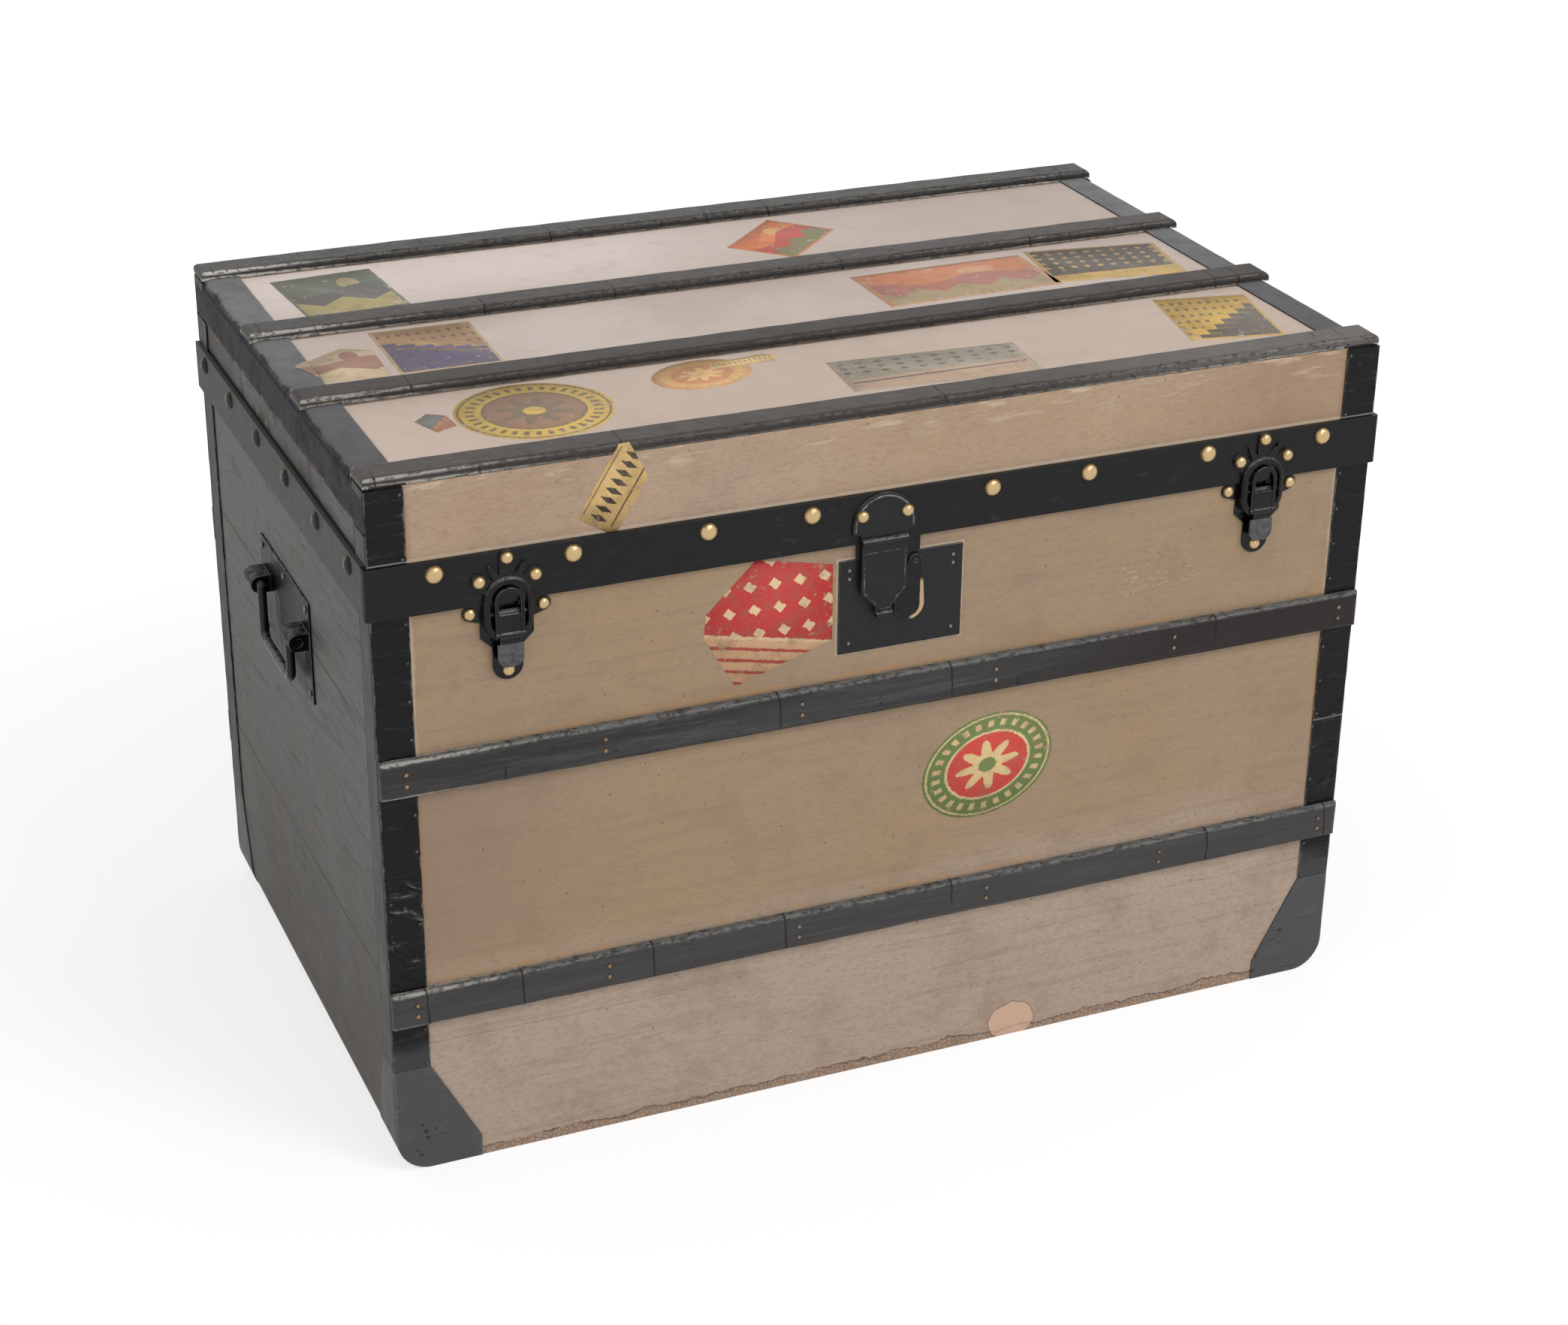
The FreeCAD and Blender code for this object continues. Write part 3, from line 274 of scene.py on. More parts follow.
# Finishes, each with the colours that a user may change
finishes = {
    "frontCloth": {
        "ground": (153, 131, 107), "grey": (169, 150, 134), "dark": (134, 113, 97),
        "yellow": (156, 131, 98), "pale": (206, 188, 166), "rust": (168, 108, 56),
    },
    "topCloth": {
        "ground": (194, 178, 168), "pale": (207, 193, 184), "bleached": (234, 220, 212),
        "dark": (174, 157, 142), "yellow": (197, 175, 156),
    },
    "frontSlat": {
        "ground": (52, 52, 52), "brown": (30, 20, 18), "dust": (102, 102, 100), "rubbed": (160, 157, 150),
    },
    "lidSlat": {
        "ground": (40, 40, 39), "brown": (58, 48, 42), "dust": (76, 73, 70), "rubbed": (202, 198, 190),
    },
    "boards": {
        "ground": (90, 91, 88), "brown": (64, 54, 45), "dust": (104, 105, 101), "dark": (32, 32, 31),
        "seams": (0.1777, 0.4009),
    },
    "border": {
        "ground": (124, 124, 124), "front": (95, 95, 98), "fold": (36, 35, 42), "dark": (15, 15, 17),
        "brown": (62, 50, 42),
    },
    "strip": {
        "ground": (15, 15, 16), "scuff": (64, 64, 64), "rubbed": (124, 122, 118), "onEnds": (78, 80, 77),
    },
    "shoe": {"ground": (70, 70, 71), "scuff": (88, 88, 87), "hole": (26, 26, 27)},
    "iron": {
        "ground": (6, 6, 7), "dust": (30, 30, 30), "settledDustAndSheen": (104, 102, 99), "rubbed": (150, 146, 140),
        "brassy": (206, 180, 138),
    },
    "steel": {"ground": (104, 104, 106), "stain": (30, 30, 31)},
    "brass": {"ground": (194, 168, 124), "stain": (96, 72, 42), "black": (70, 58, 46)},
    "tack": {"ground": (146, 120, 90), "stain": (50, 40, 33)},
    "darkTack": {"ground": (84, 84, 84), "stain": (18, 18, 18)},
    "wood": {"ground": (176, 142, 104), "stain": (132, 98, 66), "dirt": (96, 76, 58)},
    "lining": {"ground": (206, 196, 172), "stripe": (150, 140, 124), "stain": (168, 150, 120)},
}


def tones(spec):
    # the colours among a piece's values, ready for a material
    return {key: rgb(*value) for key, value in spec.items() if isinstance(value, tuple) and len(value) == 3}


def clothGround(paint, tone):
    # varnished canvas: faint mottling over fine streaks, darker on the left, greyer low down
    broad = paint.cloud(2.6, 3.0, 0.55)
    hue = paint.cloud(7.0, 4.0, 0.62)
    middle = paint.cloud(19.0, 4.0, 0.62, warp=0.3)
    fine = paint.streaks((160, 420, 420), 3.0, 0.7)
    low = paint.z.fade(0.24, 0.10)
    paint.colour = paint.mix(hue.fade(0.42, 0.66) * 0.6, tone["ground"], tone["yellow"])
    paint.lay((broad * 0.5 + (1 - hue) * 0.2 + low * 0.6).fade(0.40, 0.74), tone["grey"])
    paint.lay(middle.fade(0.46, 0.72) * 0.4, tone["dark"])
    shade = paint.x.fade(-0.22, -0.42) * paint.z.band(0.20, 0.38, 0.03)
    paint.lay(shade * 0.55, tone["dark"])
    paint.lay(fine.fade(0.44, 0.70) * 0.42, tone["dark"])
    return broad, middle


def addSpecks(paint, dark, share=0.8):
    # dirt caught in the weave, and pin holes
    paint.lay(paint.cells(70.0).fade(0.085, 0.03) * paint.cloud(6.0).fade(0.36, 0.54) * share, dark)


def weave(paint, along, up):
    threads = (along * 3600).sine() * (up * 3600).sine()
    paint.bump(threads * 0.35 + paint.cloud(560.0, 2.0, 0.7), 0.25, 0.0004)


def frontClothPaint():
    paint, tone = Paint("front cloth"), tones(finishes["frontCloth"])
    broad, middle = clothGround(paint, tone)
    small = paint.cloud(150.0, 3.0, 0.6)
    streak = paint.streaks((6, 6, 110), 3.0, 0.6)
    paint.lay(streak.fade(0.50, 0.74) * 0.35, tone["dark"])
    addSpecks(paint, rgb(92, 72, 58))
    # a crease along the face below the lower slat
    wander = paint.z + paint.cloud(5.0) * 0.012
    crease = wander.band(0.1262, 0.1268, 0.0009) * paint.cloud(11.0).fade(0.38, 0.50)
    paint.lay(crease * 0.3, rgb(118, 94, 78))
    # rust beside the strips under the upper slat, paler cloth above it
    edge = (abs(paint.x) + paint.cloud(40.0) * 0.006).fade(0.4178, 0.4212)
    rusty = paint.z.band(0.25, 0.36, 0.03) * small.fade(0.30, 0.60)
    paint.lay(edge * rusty * 0.75, tone["rust"])
    paint.lay(edge * paint.z.fade(0.37, 0.40) * 0.45, tone["pale"])
    # small wrinkles at the right of the upper field
    across, up = (paint.x - 0.235) / 0.075, (paint.z - 0.436) / 0.022
    ripple = paint.streaks((26, 26, 210), 3.0, 0.6, 0.5)
    wrinkles = abs(ripple - 0.5).fade(0.020, 0.004) * (across * across + up * up).fade(1.0, 0.3)
    paint.lay(wrinkles * 0.35, tone["pale"])
    for node in ("lower_front_slat", "upper_front_slat"):
        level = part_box(node)[1].z
        above = paint.z.band(level - 0.0001, level + 0.0052, 0.002) * paint.cloud(9.0).fade(0.42, 0.60)
        paint.lay(above * 0.4, rgb(178, 136, 92))
    # frayed lower edge: a ragged brown line, cracked cloth under it
    fray = paint.z + paint.cloud(22.0, 6.0, 0.72) * 0.026
    under = fray.fade(0.0222, 0.0210)
    crumbs = paint.cells(210.0, "DISTANCE_TO_EDGE")
    paint.lay(under * 0.5, rgb(150, 122, 100))
    paint.lay(under * crumbs.fade(0.10, 0.02) * 0.6, rgb(96, 74, 60))
    line = fray.band(0.0212, 0.0222, 0.0007) * paint.cloud(30.0).fade(0.36, 0.46)
    paint.lay(line * 0.8, rgb(74, 56, 46))
    # clean margin round the lock plate
    lockLow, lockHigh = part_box("lock_plate")
    middleX, middleZ = (lockLow.x + lockHigh.x) / 2, (lockLow.z + lockHigh.z) / 2
    aside = abs(paint.x - middleX) - (lockHigh.x - lockLow.x) / 2
    above = abs(paint.z - middleZ) - (lockHigh.z - lockLow.z) / 2
    margin = (aside.top(above) + small * 0.0016).band(0.0, 0.0024, 0.0008) * paint.y.fade(0.0, -0.1)
    paint.lay(margin * 0.6, tone["pale"])
    # one bare patch where the cloth has come away
    across, up = (paint.x - 0.125) / 0.022, (paint.z - 0.014) / 0.019
    patch = across * across + up * up + paint.cloud(90.0, 4.0) * 0.7
    onFront = paint.y.fade(-0.2, -0.25)
    paint.lay(patch.band(1.34, 1.46, 0.04) * onFront * 0.6, rgb(92, 70, 56))
    paint.lay(patch.fade(1.40, 1.32) * onFront, rgb(196, 164, 140))
    weave(paint, paint.x, paint.z)
    paint.bump(middle + paint.cloud(130.0, 4.0, 0.6) * 0.4, 0.4, 0.0012)
    paint.bump(under * crumbs * 2.0 + under - crease - line + wrinkles * 0.25, 0.8, 0.0010)
    return paint.finish(0.50 + 0.22 * broad, specular=0.25)


def lidClothPaint():
    # one sheet over the lid: yellowed on the front, bleached and dusty on top
    paint, tone, front = Paint("lid cloth"), tones(finishes["topCloth"]), tones(finishes["frontCloth"])
    upward = paint.faceZ.fade(0.4, 0.8)
    broad = paint.cloud(3.4, 4.0, 0.6)
    middle = paint.cloud(13.0, 4.0, 0.6, warp=0.3)
    small = paint.cloud(60.0, 3.0, 0.6)
    top = paint.mix(broad.fade(0.40, 0.66), tone["ground"], tone["pale"])
    bleached = paint.x.fade(0.25, -0.20) * paint.y.fade(0.05, 0.20)
    bleached = bleached + paint.x.fade(-0.20, -0.40) * paint.y.fade(-0.10, -0.15) * 0.5
    top = paint.mix(bleached * 0.7, top, tone["bleached"])
    top = paint.mix(paint.y.fade(-0.05, -0.15) * 0.6, top, tone["yellow"])
    top = paint.mix(middle.fade(0.52, 0.76) * 0.35, top, tone["dark"])
    side = paint.mix(paint.cloud(7.0, 4.0).fade(0.44, 0.64) * 0.8, front["ground"], front["yellow"])
    side = paint.mix(broad.fade(0.40, 0.66) * 0.5, side, front["grey"])
    side = paint.mix(middle.fade(0.46, 0.72) * 0.5, side, front["dark"])
    side = paint.mix(paint.x.fade(0.36, 0.15) * 0.18, side, front["pale"])
    fine = paint.streaks((160, 420, 420), 3.0, 0.7)
    side = paint.mix(fine.fade(0.44, 0.70) * 0.42, side, front["dark"])
    side = paint.mix(0.12, side, rgb(170, 118, 90))
    paint.colour = paint.mix(upward, side, top)
    paint.lay(small.fade(0.54, 0.76) * 0.2, front["grey"])
    addSpecks(paint, rgb(104, 86, 72), 0.5)
    # dust and shade beside the slats
    for place in sorted({round(vert.co.y, 4) for vert in frame["nodes"]["lid_slats"].data.vertices}):
        near = (abs(paint.y - place) + paint.cloud(30.0) * 0.004).fade(0.0060, 0.0016)
        paint.lay(near * upward * 0.35, rgb(132, 112, 96))
    edge = (abs(paint.x) + paint.cloud(40.0) * 0.006).fade(0.4160, 0.4200)
    paint.lay(edge * 0.35, rgb(150, 112, 76))
    # painted shade: black where the cloth meets the corner strips
    paint.lay(abs(paint.x).fade(0.4186, 0.4192), rgb(20, 20, 20))
    # wrinkles and dents of the front under the slat, with painted highlights on the wrinkles, and a painted
    # highlight along the cloth's edge above the band
    ripple = paint.streaks((22, 22, 150), 4.0, 0.6, 0.35)
    nearTop = paint.z.fade(0.588, 0.616) * (1 - upward)
    paint.lay(ripple.fade(0.54, 0.66) * nearTop * 0.5, rgb(206, 186, 162))
    dents = paint.cells(62.0).fade(0.10, 0.05) * nearTop * paint.cloud(14.0).fade(0.48, 0.60)
    paint.lay(dents * 0.6, rgb(112, 90, 72))
    # painted highlight: a pale line along the cloth's lower edge above the band
    seamHighlight = (paint.z + small * 0.001).fade(0.5596, 0.5580) * paint.y.fade(0.0, -0.1)
    paint.lay(seamHighlight * 0.65, rgb(204, 186, 164))
    weave(paint, paint.x, paint.y + paint.z)
    paint.bump(middle + paint.cloud(130.0, 4.0, 0.6) * 0.4, 0.4, 0.0012)
    paint.bump(ripple * nearTop - dents * 0.5, 0.7, 0.0016)
    return paint.finish(0.50 + 0.22 * broad, specular=0.25)


def slatPaint(name, finish, brownShare):
    # painted slats: grey dust and a painted sheen of the overhead light on top, crumbs of old paint along
    # the edges, splits across
    paint, tone = Paint(name), tones(finishes[finish])
    upward = paint.faceZ.fade(0.25, 0.8)
    grain = paint.streaks((14, 300, 300), 4.0, 0.65)
    streak = paint.streaks((3, 60, 60), 4.0, 0.6, 0.4)
    patch = paint.cloud(24.0, 5.0, 0.68)
    crumb = paint.streaks((150, 260, 260), 4.0, 0.7)
    paint.colour = paint.mix(streak.fade(0.40, 0.64) * brownShare, tone["ground"], tone["brown"])
    # painted sheen: faces that look up are greyed, dust and the overhead light's reflection together
    dustAndTopSheen = upward * 0.85 + grain.fade(0.46, 0.76) * 0.3
    paint.lay(dustAndTopSheen.least(1.0), tone["dust"])
    leftEnd = paint.x.fade(-0.28, -0.43) * 0.2
    mottle = paint.streaks((80, 240, 240), 5.0, 0.75, 0.3)
    paint.lay(mottle.fade(0.50, 0.62) * upward * 0.55, rgb(42, 40, 38))
    paint.lay(mottle.fade(0.45, 0.34) * upward * 0.50, rgb(124, 121, 117))
    if finish == "lidSlat":
        second = abs(paint.y + 0.080).fade(0.022, 0.018)
        paint.lay(second * 0.65, rgb(40, 38, 37))
        paler = paint.x.fade(0.05, 0.35) * paint.y.fade(-0.23, -0.24)
        paint.lay(paler * 0.60, rgb(126, 122, 118))
    rubbed = (paint.wear * 0.62 + patch * 0.42 + crumb * 0.12 + leftEnd).fade(0.62, 0.86)
    atEnds = abs(paint.x + 0.05).fade(0.16, 0.40)
    paint.lay(rubbed * (0.30 + 0.62 * atEnds), tone["rubbed"])
    edge = paint.wear.fade(0.02, 0.45)
    flaked = (crumb + patch * 0.35 + edge * 0.10).fade(0.78, 0.88)
    paint.lay(flaked * 0.7, rgb(20, 20, 20))
    if finish == "lidSlat":
        browner = paint.y.fade(0.25, -0.05) * 0.4
    else:
        paint.lay(paint.z.fade(0.30, 0.22) * (1 - upward) * 0.4, rgb(68, 67, 67))
        browner = paint.x.fade(0.02, 0.30) * paint.z.fade(0.22, 0.30) * (1 - upward) * 0.85
    paint.lay(browner, tone["brown"])
    # splits across the slat, from one edge part of the way
    wobble = paint.x * 9.0 + paint.cloud(36.0) * 0.045 + paint.z * 0.35
    split = paint.add("TexVoronoi", {"voronoi_dimensions": "1D"}, {"W": wobble, "Scale": 1.0})
    split = split.fade(0.011, 0.003) * paint.cloud(17.0).fade(0.44, 0.54)
    paint.lay(split * 0.9, rgb(12, 11, 11))
    paint.bump(grain * 0.4 + streak, 0.3, 0.0008)
    paint.bump(patch * 0.5 - flaked * 0.6 - split, 0.55, 0.0010)
    return paint.finish(0.36 + 0.25 * patch, specular=0.24)


def boardPaint():
    # painted planks of the ends: black paint worn and lightened to grey as a painted sheen of glancing
    # light, long dark grain, brown where the paint has thinned low down
    paint, tone = Paint("end boards"), tones(finishes["boards"])
    grain = paint.streaks((10, 9, 120), 5.0, 0.68, 0.6)
    vein = paint.streaks((2, 1.5, 11), 3.0, 0.55, 0.4)
    patch = paint.cloud(7.0, 4.0, 0.6)
    low = (paint.z + patch * 0.12).fade(0.42, 0.06)
    paint.colour = paint.mix(low * 0.9, tone["ground"], tone["brown"])
    paint.lay(patch.fade(0.44, 0.66) * 0.45, tone["dust"])
    fine = paint.streaks((120, 60, 420), 4.0, 0.7)
    lines = abs((vein * 15.0) % 1.0 - 0.5).fade(0.16, 0.02) * paint.cloud(11.0).fade(0.40, 0.54)
    dark = (grain.fade(0.52, 0.72) * 0.42 + lines * 0.25 + fine.fade(0.44, 0.72) * 0.35).least(1.0)
    stains = paint.streaks((20, 14, 34), 4.0, 0.6, 0.5)
    paint.lay(stains.fade(0.52, 0.66) * 0.35, rgb(96, 82, 72))
    paint.lay(stains.fade(0.44, 0.32) * 0.40, rgb(84, 90, 100))
    paint.lay(dark, tone["dark"])
    # painted shade: a dark line along the torn edge of the corner strips
    torn = abs(abs(paint.y) - abs(endReturn) + paint.cloud(24.0, 4.0, 0.7) * 0.006 - 0.0015)
    gap = torn.fade(0.0030, 0.0012) * paint.cloud(30.0).fade(0.36, 0.48)
    paint.lay(gap * 0.9, rgb(15, 15, 15))
    # seams between planks
    seams = 0.0
    for level in finishes["boards"]["seams"]:
        seams = abs(paint.z + paint.cloud(4.0) * 0.003 - level - 0.0015).fade(0.0013, 0.0004) + seams
    paint.lay(seams.least(1.0) * 0.8, rgb(20, 19, 18))
    specks = paint.cells(95.0).fade(0.12, 0.06) * paint.cloud(9.0).fade(0.46, 0.62)
    paint.lay(specks * 0.7, rgb(26, 25, 24))
    rim = paint.z.fade(0.5555, 0.5565)
    paint.lay(rim * patch.fade(0.60, 0.40) * 0.45, tone["dark"])
    paint.lay(rim * paint.cloud(22.0, 5.0, 0.75).fade(0.51, 0.55) * 0.85, rgb(58, 42, 33))
    # painted shadow: a black line just above the band
    paint.lay(paint.z.fade(0.5590, 0.5572) * rim, rgb(14, 14, 14))
    paint.bump(grain - dark * 0.5, 0.4, 0.0008)
    paint.bump(patch - seams - specks * 0.4, 0.5, 0.0012)
    return paint.finish(0.46 + 0.2 * patch, specular=0.16)


def borderPaint():
    # cloth border nailed over the lid's ends: grey on top, where worn black paint carries a painted sheen
    # of the overhead light, blue black on the fold
    paint, tone = Paint("end border"), tones(finishes["border"])
    upward = paint.faceZ.fade(0.3, 0.8)
    fine = paint.streaks((260, 60, 260), 4.0, 0.65)
    patch = paint.cloud(34.0, 5.0, 0.7)
    topGreyAndSheen = paint.mix(paint.y.fade(0.16, -0.22), tone["ground"], tone["front"])
    topGreyAndSheen = paint.mix(patch.fade(0.46, 0.66) * 0.35, topGreyAndSheen, rgb(74, 76, 76))
    paint.colour = paint.mix(upward, tone["fold"], topGreyAndSheen)
    paint.lay(fine.fade(0.48, 0.74) * 0.35 * upward, rgb(92, 90, 87))
    paint.lay(fine.fade(0.48, 0.74) * 0.25 * (1 - upward), rgb(84, 84, 88))
    paint.lay(patch.fade(0.52, 0.60) * (1 - upward) * 0.85, tone["dark"])
    scuffs = paint.cells(60.0).fade(0.13, 0.06) * paint.cloud(12.0).fade(0.50, 0.62)
    paint.lay(scuffs * upward * 0.6, rgb(44, 43, 42))
    torn = (abs(paint.z - 0.6180) + patch * 0.012).fade(0.0092, 0.0072) * (1 - upward)
    inward = (abs(paint.x) + patch * 0.010).fade(0.4500, 0.4528) * upward
    torn = torn.top(inward)
    paint.lay(torn * 0.9, rgb(14, 14, 15))
    lower = (paint.z + patch * 0.014).fade(0.5950, 0.5915)
    paint.lay(lower * 0.8, tone["brown"])
    paint.bump(fine, 0.3, 0.0005)
    paint.bump(patch * (1 - upward * 0.7) - torn, 0.6, 0.0014)
    return paint.finish(0.56 + 0.2 * patch, specular=0.12)


def stripPaint(name, creased, scuffed=0.22, ground=None):
    # black strips over the corners: creased low down with painted highlights on the folds, scuffed, and
    # grey where they turn onto the ends, from worn paint and a painted sheen
    paint, tone, end = Paint(name), tones(finishes["strip"]), tones(finishes["boards"])
    fold = paint.streaks((34, 34, 42), 2.5, 0.5, 1.2)
    wrinkle = paint.streaks((10, 10, 95), 4.0, 0.6, 0.3)
    chips = paint.cloud(85.0, 5.0, 0.7)
    scuffs = paint.streaks((40, 40, 130), 5.0, 0.7).fade(0.58, 0.72)
    low = paint.z.band(0.190, 0.256, 0.010) * creased
    # grey where the strips turn onto the ends: worn paint, lightened as a painted sheen of glancing light
    sideways = abs(paint.faceX).fade(0.5, 0.8)
    sideways = sideways.top(abs(paint.x).fade(0.4498, 0.4503) * abs(paint.y).fade(0.272, 0.268))
    grain = paint.streaks((40, 40, 12), 5.0, 0.68)
    onEnds = paint.mix(grain.fade(0.42, 0.62) * creased, tone["onEnds"], end["ground"])
    ground = paint.mix(sideways, ground or tone["ground"], onEnds)
    paint.colour = paint.mix(scuffs * scuffed, ground, tone["scuff"])
    paint.lay(chips.fade(0.62, 0.74) * 0.3, tone["scuff"])
    # dark along the corner, and painted shade beside the torn edge on the ends
    torn = abs(abs(paint.y) + chips * 0.008 - abs(endReturn) - 0.004).fade(0.0040, 0.0012)
    paint.lay(torn * sideways * creased * 0.6, rgb(30, 32, 30))
    # grey low down towards the shoe; the black left just under the lower slat stands as painted shade
    toShoe = (paint.z + fold * 0.030).fade(0.152, 0.124) * creased
    paint.lay(toShoe * 0.85 * (1 - sideways), rgb(64, 64, 65))
    corner = (abs(paint.y) + chips * 0.003).fade(0.2744, 0.2762) * sideways
    paint.lay(corner * 0.75, rgb(20, 20, 20))
    # painted highlight on the fold ridges, and real rubbing on the rounded edges
    rubbed = (paint.wear * 0.5 + chips * 0.6).fade(0.66, 0.86)
    paint.lay(rubbed * (0.3 + 0.4 * creased) * (1 - sideways * 0.6), tone["rubbed"])
    across = abs((paint.z * 46.0 + fold * 0.8) % 1.0 - 0.5)
    across = across.fade(0.060, 0.015) * chips.fade(0.40, 0.56) * (1 - sideways) * creased
    paint.lay(across * 0.3, rgb(56, 56, 56))
    # an old crease across the body's right strip, painted pale as the crease's highlight, and the lid's
    # strips rubbed bright at the band, with a painted highlight along that edge
    crossed = paint.z + paint.cloud(30.0) * 0.003
    right = crossed.band(0.2664, 0.2676, 0.0005) * paint.x.fade(0.0, 0.1)
    seamHighlight = (paint.z + chips * 0.0012).band(0.5572, 0.5584, 0.0004)
    lines = (right + seamHighlight).least(1.0) * (1 - sideways) * creased
    paint.lay(lines * 0.75, rgb(150, 148, 144))
    paint.bump(wrinkle, 0.35, 0.0010)
    paint.bump(fold * (0.15 + low * 0.3), 0.9, 0.0060)
    paint.bump(chips, 0.25, 0.0006)
    return paint.finish(0.20 + 0.30 * chips + 0.32 * sideways, specular=0.16)


def shoePaint():
    paint, tone = Paint("shoe iron"), tones(finishes["shoe"])
    chips = paint.cloud(36.0, 5.0, 0.7)
    holes = paint.cells(72.0, jitter=0.9)
    holes = (holes + paint.cloud(160.0) * 0.05).fade(0.205, 0.150)
    scratch = paint.streaks((8, 60, 160), 3.0, 0.6, 0.6)
    scratch = abs(scratch - 0.5).fade(0.012, 0.002) * chips.fade(0.46, 0.58)
    paint.colour = paint.mix(chips.fade(0.46, 0.72) * 0.5, tone["ground"], tone["scuff"])
    paint.lay(((holes + scratch) * 0.8).least(1.0), tone["hole"])
    rubbed = (paint.wear * 0.5 + chips * 0.6).fade(0.62, 0.84)
    paint.lay(rubbed * 0.45, rgb(128, 126, 122))
    # streaked like the boards where they turn onto the ends, with a dark line along the corner
    sideways = abs(paint.faceX).fade(0.5, 0.8)
    grain = paint.streaks((40, 60, 12), 5.0, 0.68)
    paint.lay(sideways * 0.9, paint.mix(grain.fade(0.40, 0.62), rgb(50, 51, 50), rgb(84, 85, 82)))
    corner = (abs(paint.y) + chips * 0.003).fade(0.2744, 0.2762) * sideways
    paint.lay(corner * 0.75, rgb(20, 20, 20))
    paint.bump(chips - holes - scratch, 0.45, 0.0009)
    return paint.finish(0.42 + 0.2 * chips, specular=0.25)


def ironPaint(name, gloss, ground=None, specular=0.25, worn="rubbed", bare=0.64, greyBelow=None):
    # thick black paint over stamped iron, worn through on the high edges, which also carry painted
    # highlights, with a painted sheen on the faces that look up
    paint, tone = Paint(name), tones(finishes["iron"])
    lumps = paint.cloud(170.0, 4.0, 0.6)
    chips = paint.cloud(150.0, 5.0, 0.7)
    dust = paint.cloud(60.0, 4.0, 0.6)
    # pale worn edges, which also serve as painted highlights on the high edges
    rubbed = (paint.wear * 0.60 + chips * 0.6).fade(bare, bare + 0.20)
    paint.colour = paint.mix(dust.fade(0.48, 0.72) * 0.4, ground or tone["ground"], tone["dust"])
    if greyBelow:
        grey = (paint.z + dust * 0.002).fade(greyBelow, greyBelow - 0.001) * chips.fade(0.74, 0.60)
        paint.lay(grey, paint.mix(lumps.fade(0.40, 0.66), rgb(82, 82, 85), rgb(62, 62, 65)))
    # painted sheen: the faces that look up turn grey, settled dust and the overhead light's reflection
    # together
    settledDustAndSheen = paint.faceZ.fade(0.20, 0.85) * lumps.fade(0.34, 0.58)
    paint.lay(settledDustAndSheen * 0.75, tone["settledDustAndSheen"])
    paint.lay(rubbed * 0.7, tone[worn])
    # the cover's right edge worn through to brass, painted bright as its glints
    if worn == "brassy":
        low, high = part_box("keyhole_cover")
        radius = (high.x - low.x) * 0.47
        across, up = paint.x - (low.x + radius), (paint.z - (low.z + radius)).least(0.0)
        reach = (across * across + up * up).root() + chips * 0.0026
        side = reach.fade(radius - 0.0016, radius - 0.0007) * across.fade(0.0, 0.004)
        side = side * (paint.z + chips * 0.016).fade(low.z + radius * 3.6, low.z + radius * 3.0)
        paint.lay(side * 0.7, tone[worn])
        rubbed = rubbed.top(side)
    paint.bump(lumps, 0.45, 0.0008)
    paint.bump(dust, 0.5, 0.0024)
    return paint.finish(gloss + 0.16 * dust, metal=rubbed * 0.5, specular=specular)


def steelPaint():
    paint, tone = Paint("worn steel"), tones(finishes["steel"])
    blotch = paint.cloud(190.0, 5.0, 0.65)
    stain = (blotch + (1 - paint.wear) * 0.18).fade(0.50, 0.78)
    paint.colour = paint.mix(stain * 0.9, tone["ground"], tone["stain"])
    paint.bump(blotch, 0.3, 0.0005)
    return paint.finish(0.30 + 0.25 * stain, metal=0.9)


def brassPaint():
    # lacquered brass heads, dark at the foot with tarnish and painted shade, and painted over on the ends,
    # with a painted shadow on the ends' studs
    paint, tone = Paint("brass"), tones(finishes["brass"])
    blotch = paint.cloud(170.0, 5.0, 0.65)
    stain = (blotch * 0.7 + (1 - paint.wear) * 0.62).fade(0.50, 0.86)
    onEnds = abs(paint.x).fade(0.4485, 0.4515)
    paint.colour = paint.mix(stain * 0.9, tone["ground"], tone["stain"])
    paint.lay(onEnds * blotch.fade(0.66, 0.50), tone["black"])
    # painted shadow on the front-facing side of the studs on the ends
    paint.lay(onEnds * paint.faceY.fade(0.10, -0.30), rgb(14, 13, 12))
    paint.bump(paint.cloud(260.0, 4.0, 0.6), 0.3, 0.0006)
    return paint.finish(0.32 + 0.22 * stain + onEnds * 0.2, metal=0.88 - onEnds * 0.7)


def tackPaint(name, finish):
    paint, tone = Paint(name), tones(finishes[finish])
    blotch = paint.cloud(60.0, 3.0, 0.6)
    stain = (blotch * 0.7 + (1 - paint.wear) * 0.3).fade(0.36, 0.60)
    paint.colour = paint.mix(stain * 0.9, tone["ground"], tone["stain"])
    return paint.finish(0.34 + 0.3 * stain, metal=1 - stain * 0.7)


def woodPaint():
    paint, tone = Paint("bare wood"), tones(finishes["wood"])
    grain = paint.streaks((7, 90, 120), 5.0, 0.65, 0.5)
    fine = paint.streaks((30, 700, 700), 3.0, 0.6)
    paint.colour = paint.mix(grain.fade(0.36, 0.70), tone["ground"], tone["stain"])
    dirt = paint.cloud(9.0, 5.0, 0.65)
    paint.lay(dirt.fade(0.52, 0.78) * 0.5, tone["dirt"])
    paint.bump(grain * 0.6 + fine, 0.3, 0.0006)
    return paint.finish(0.72, specular=0.25)


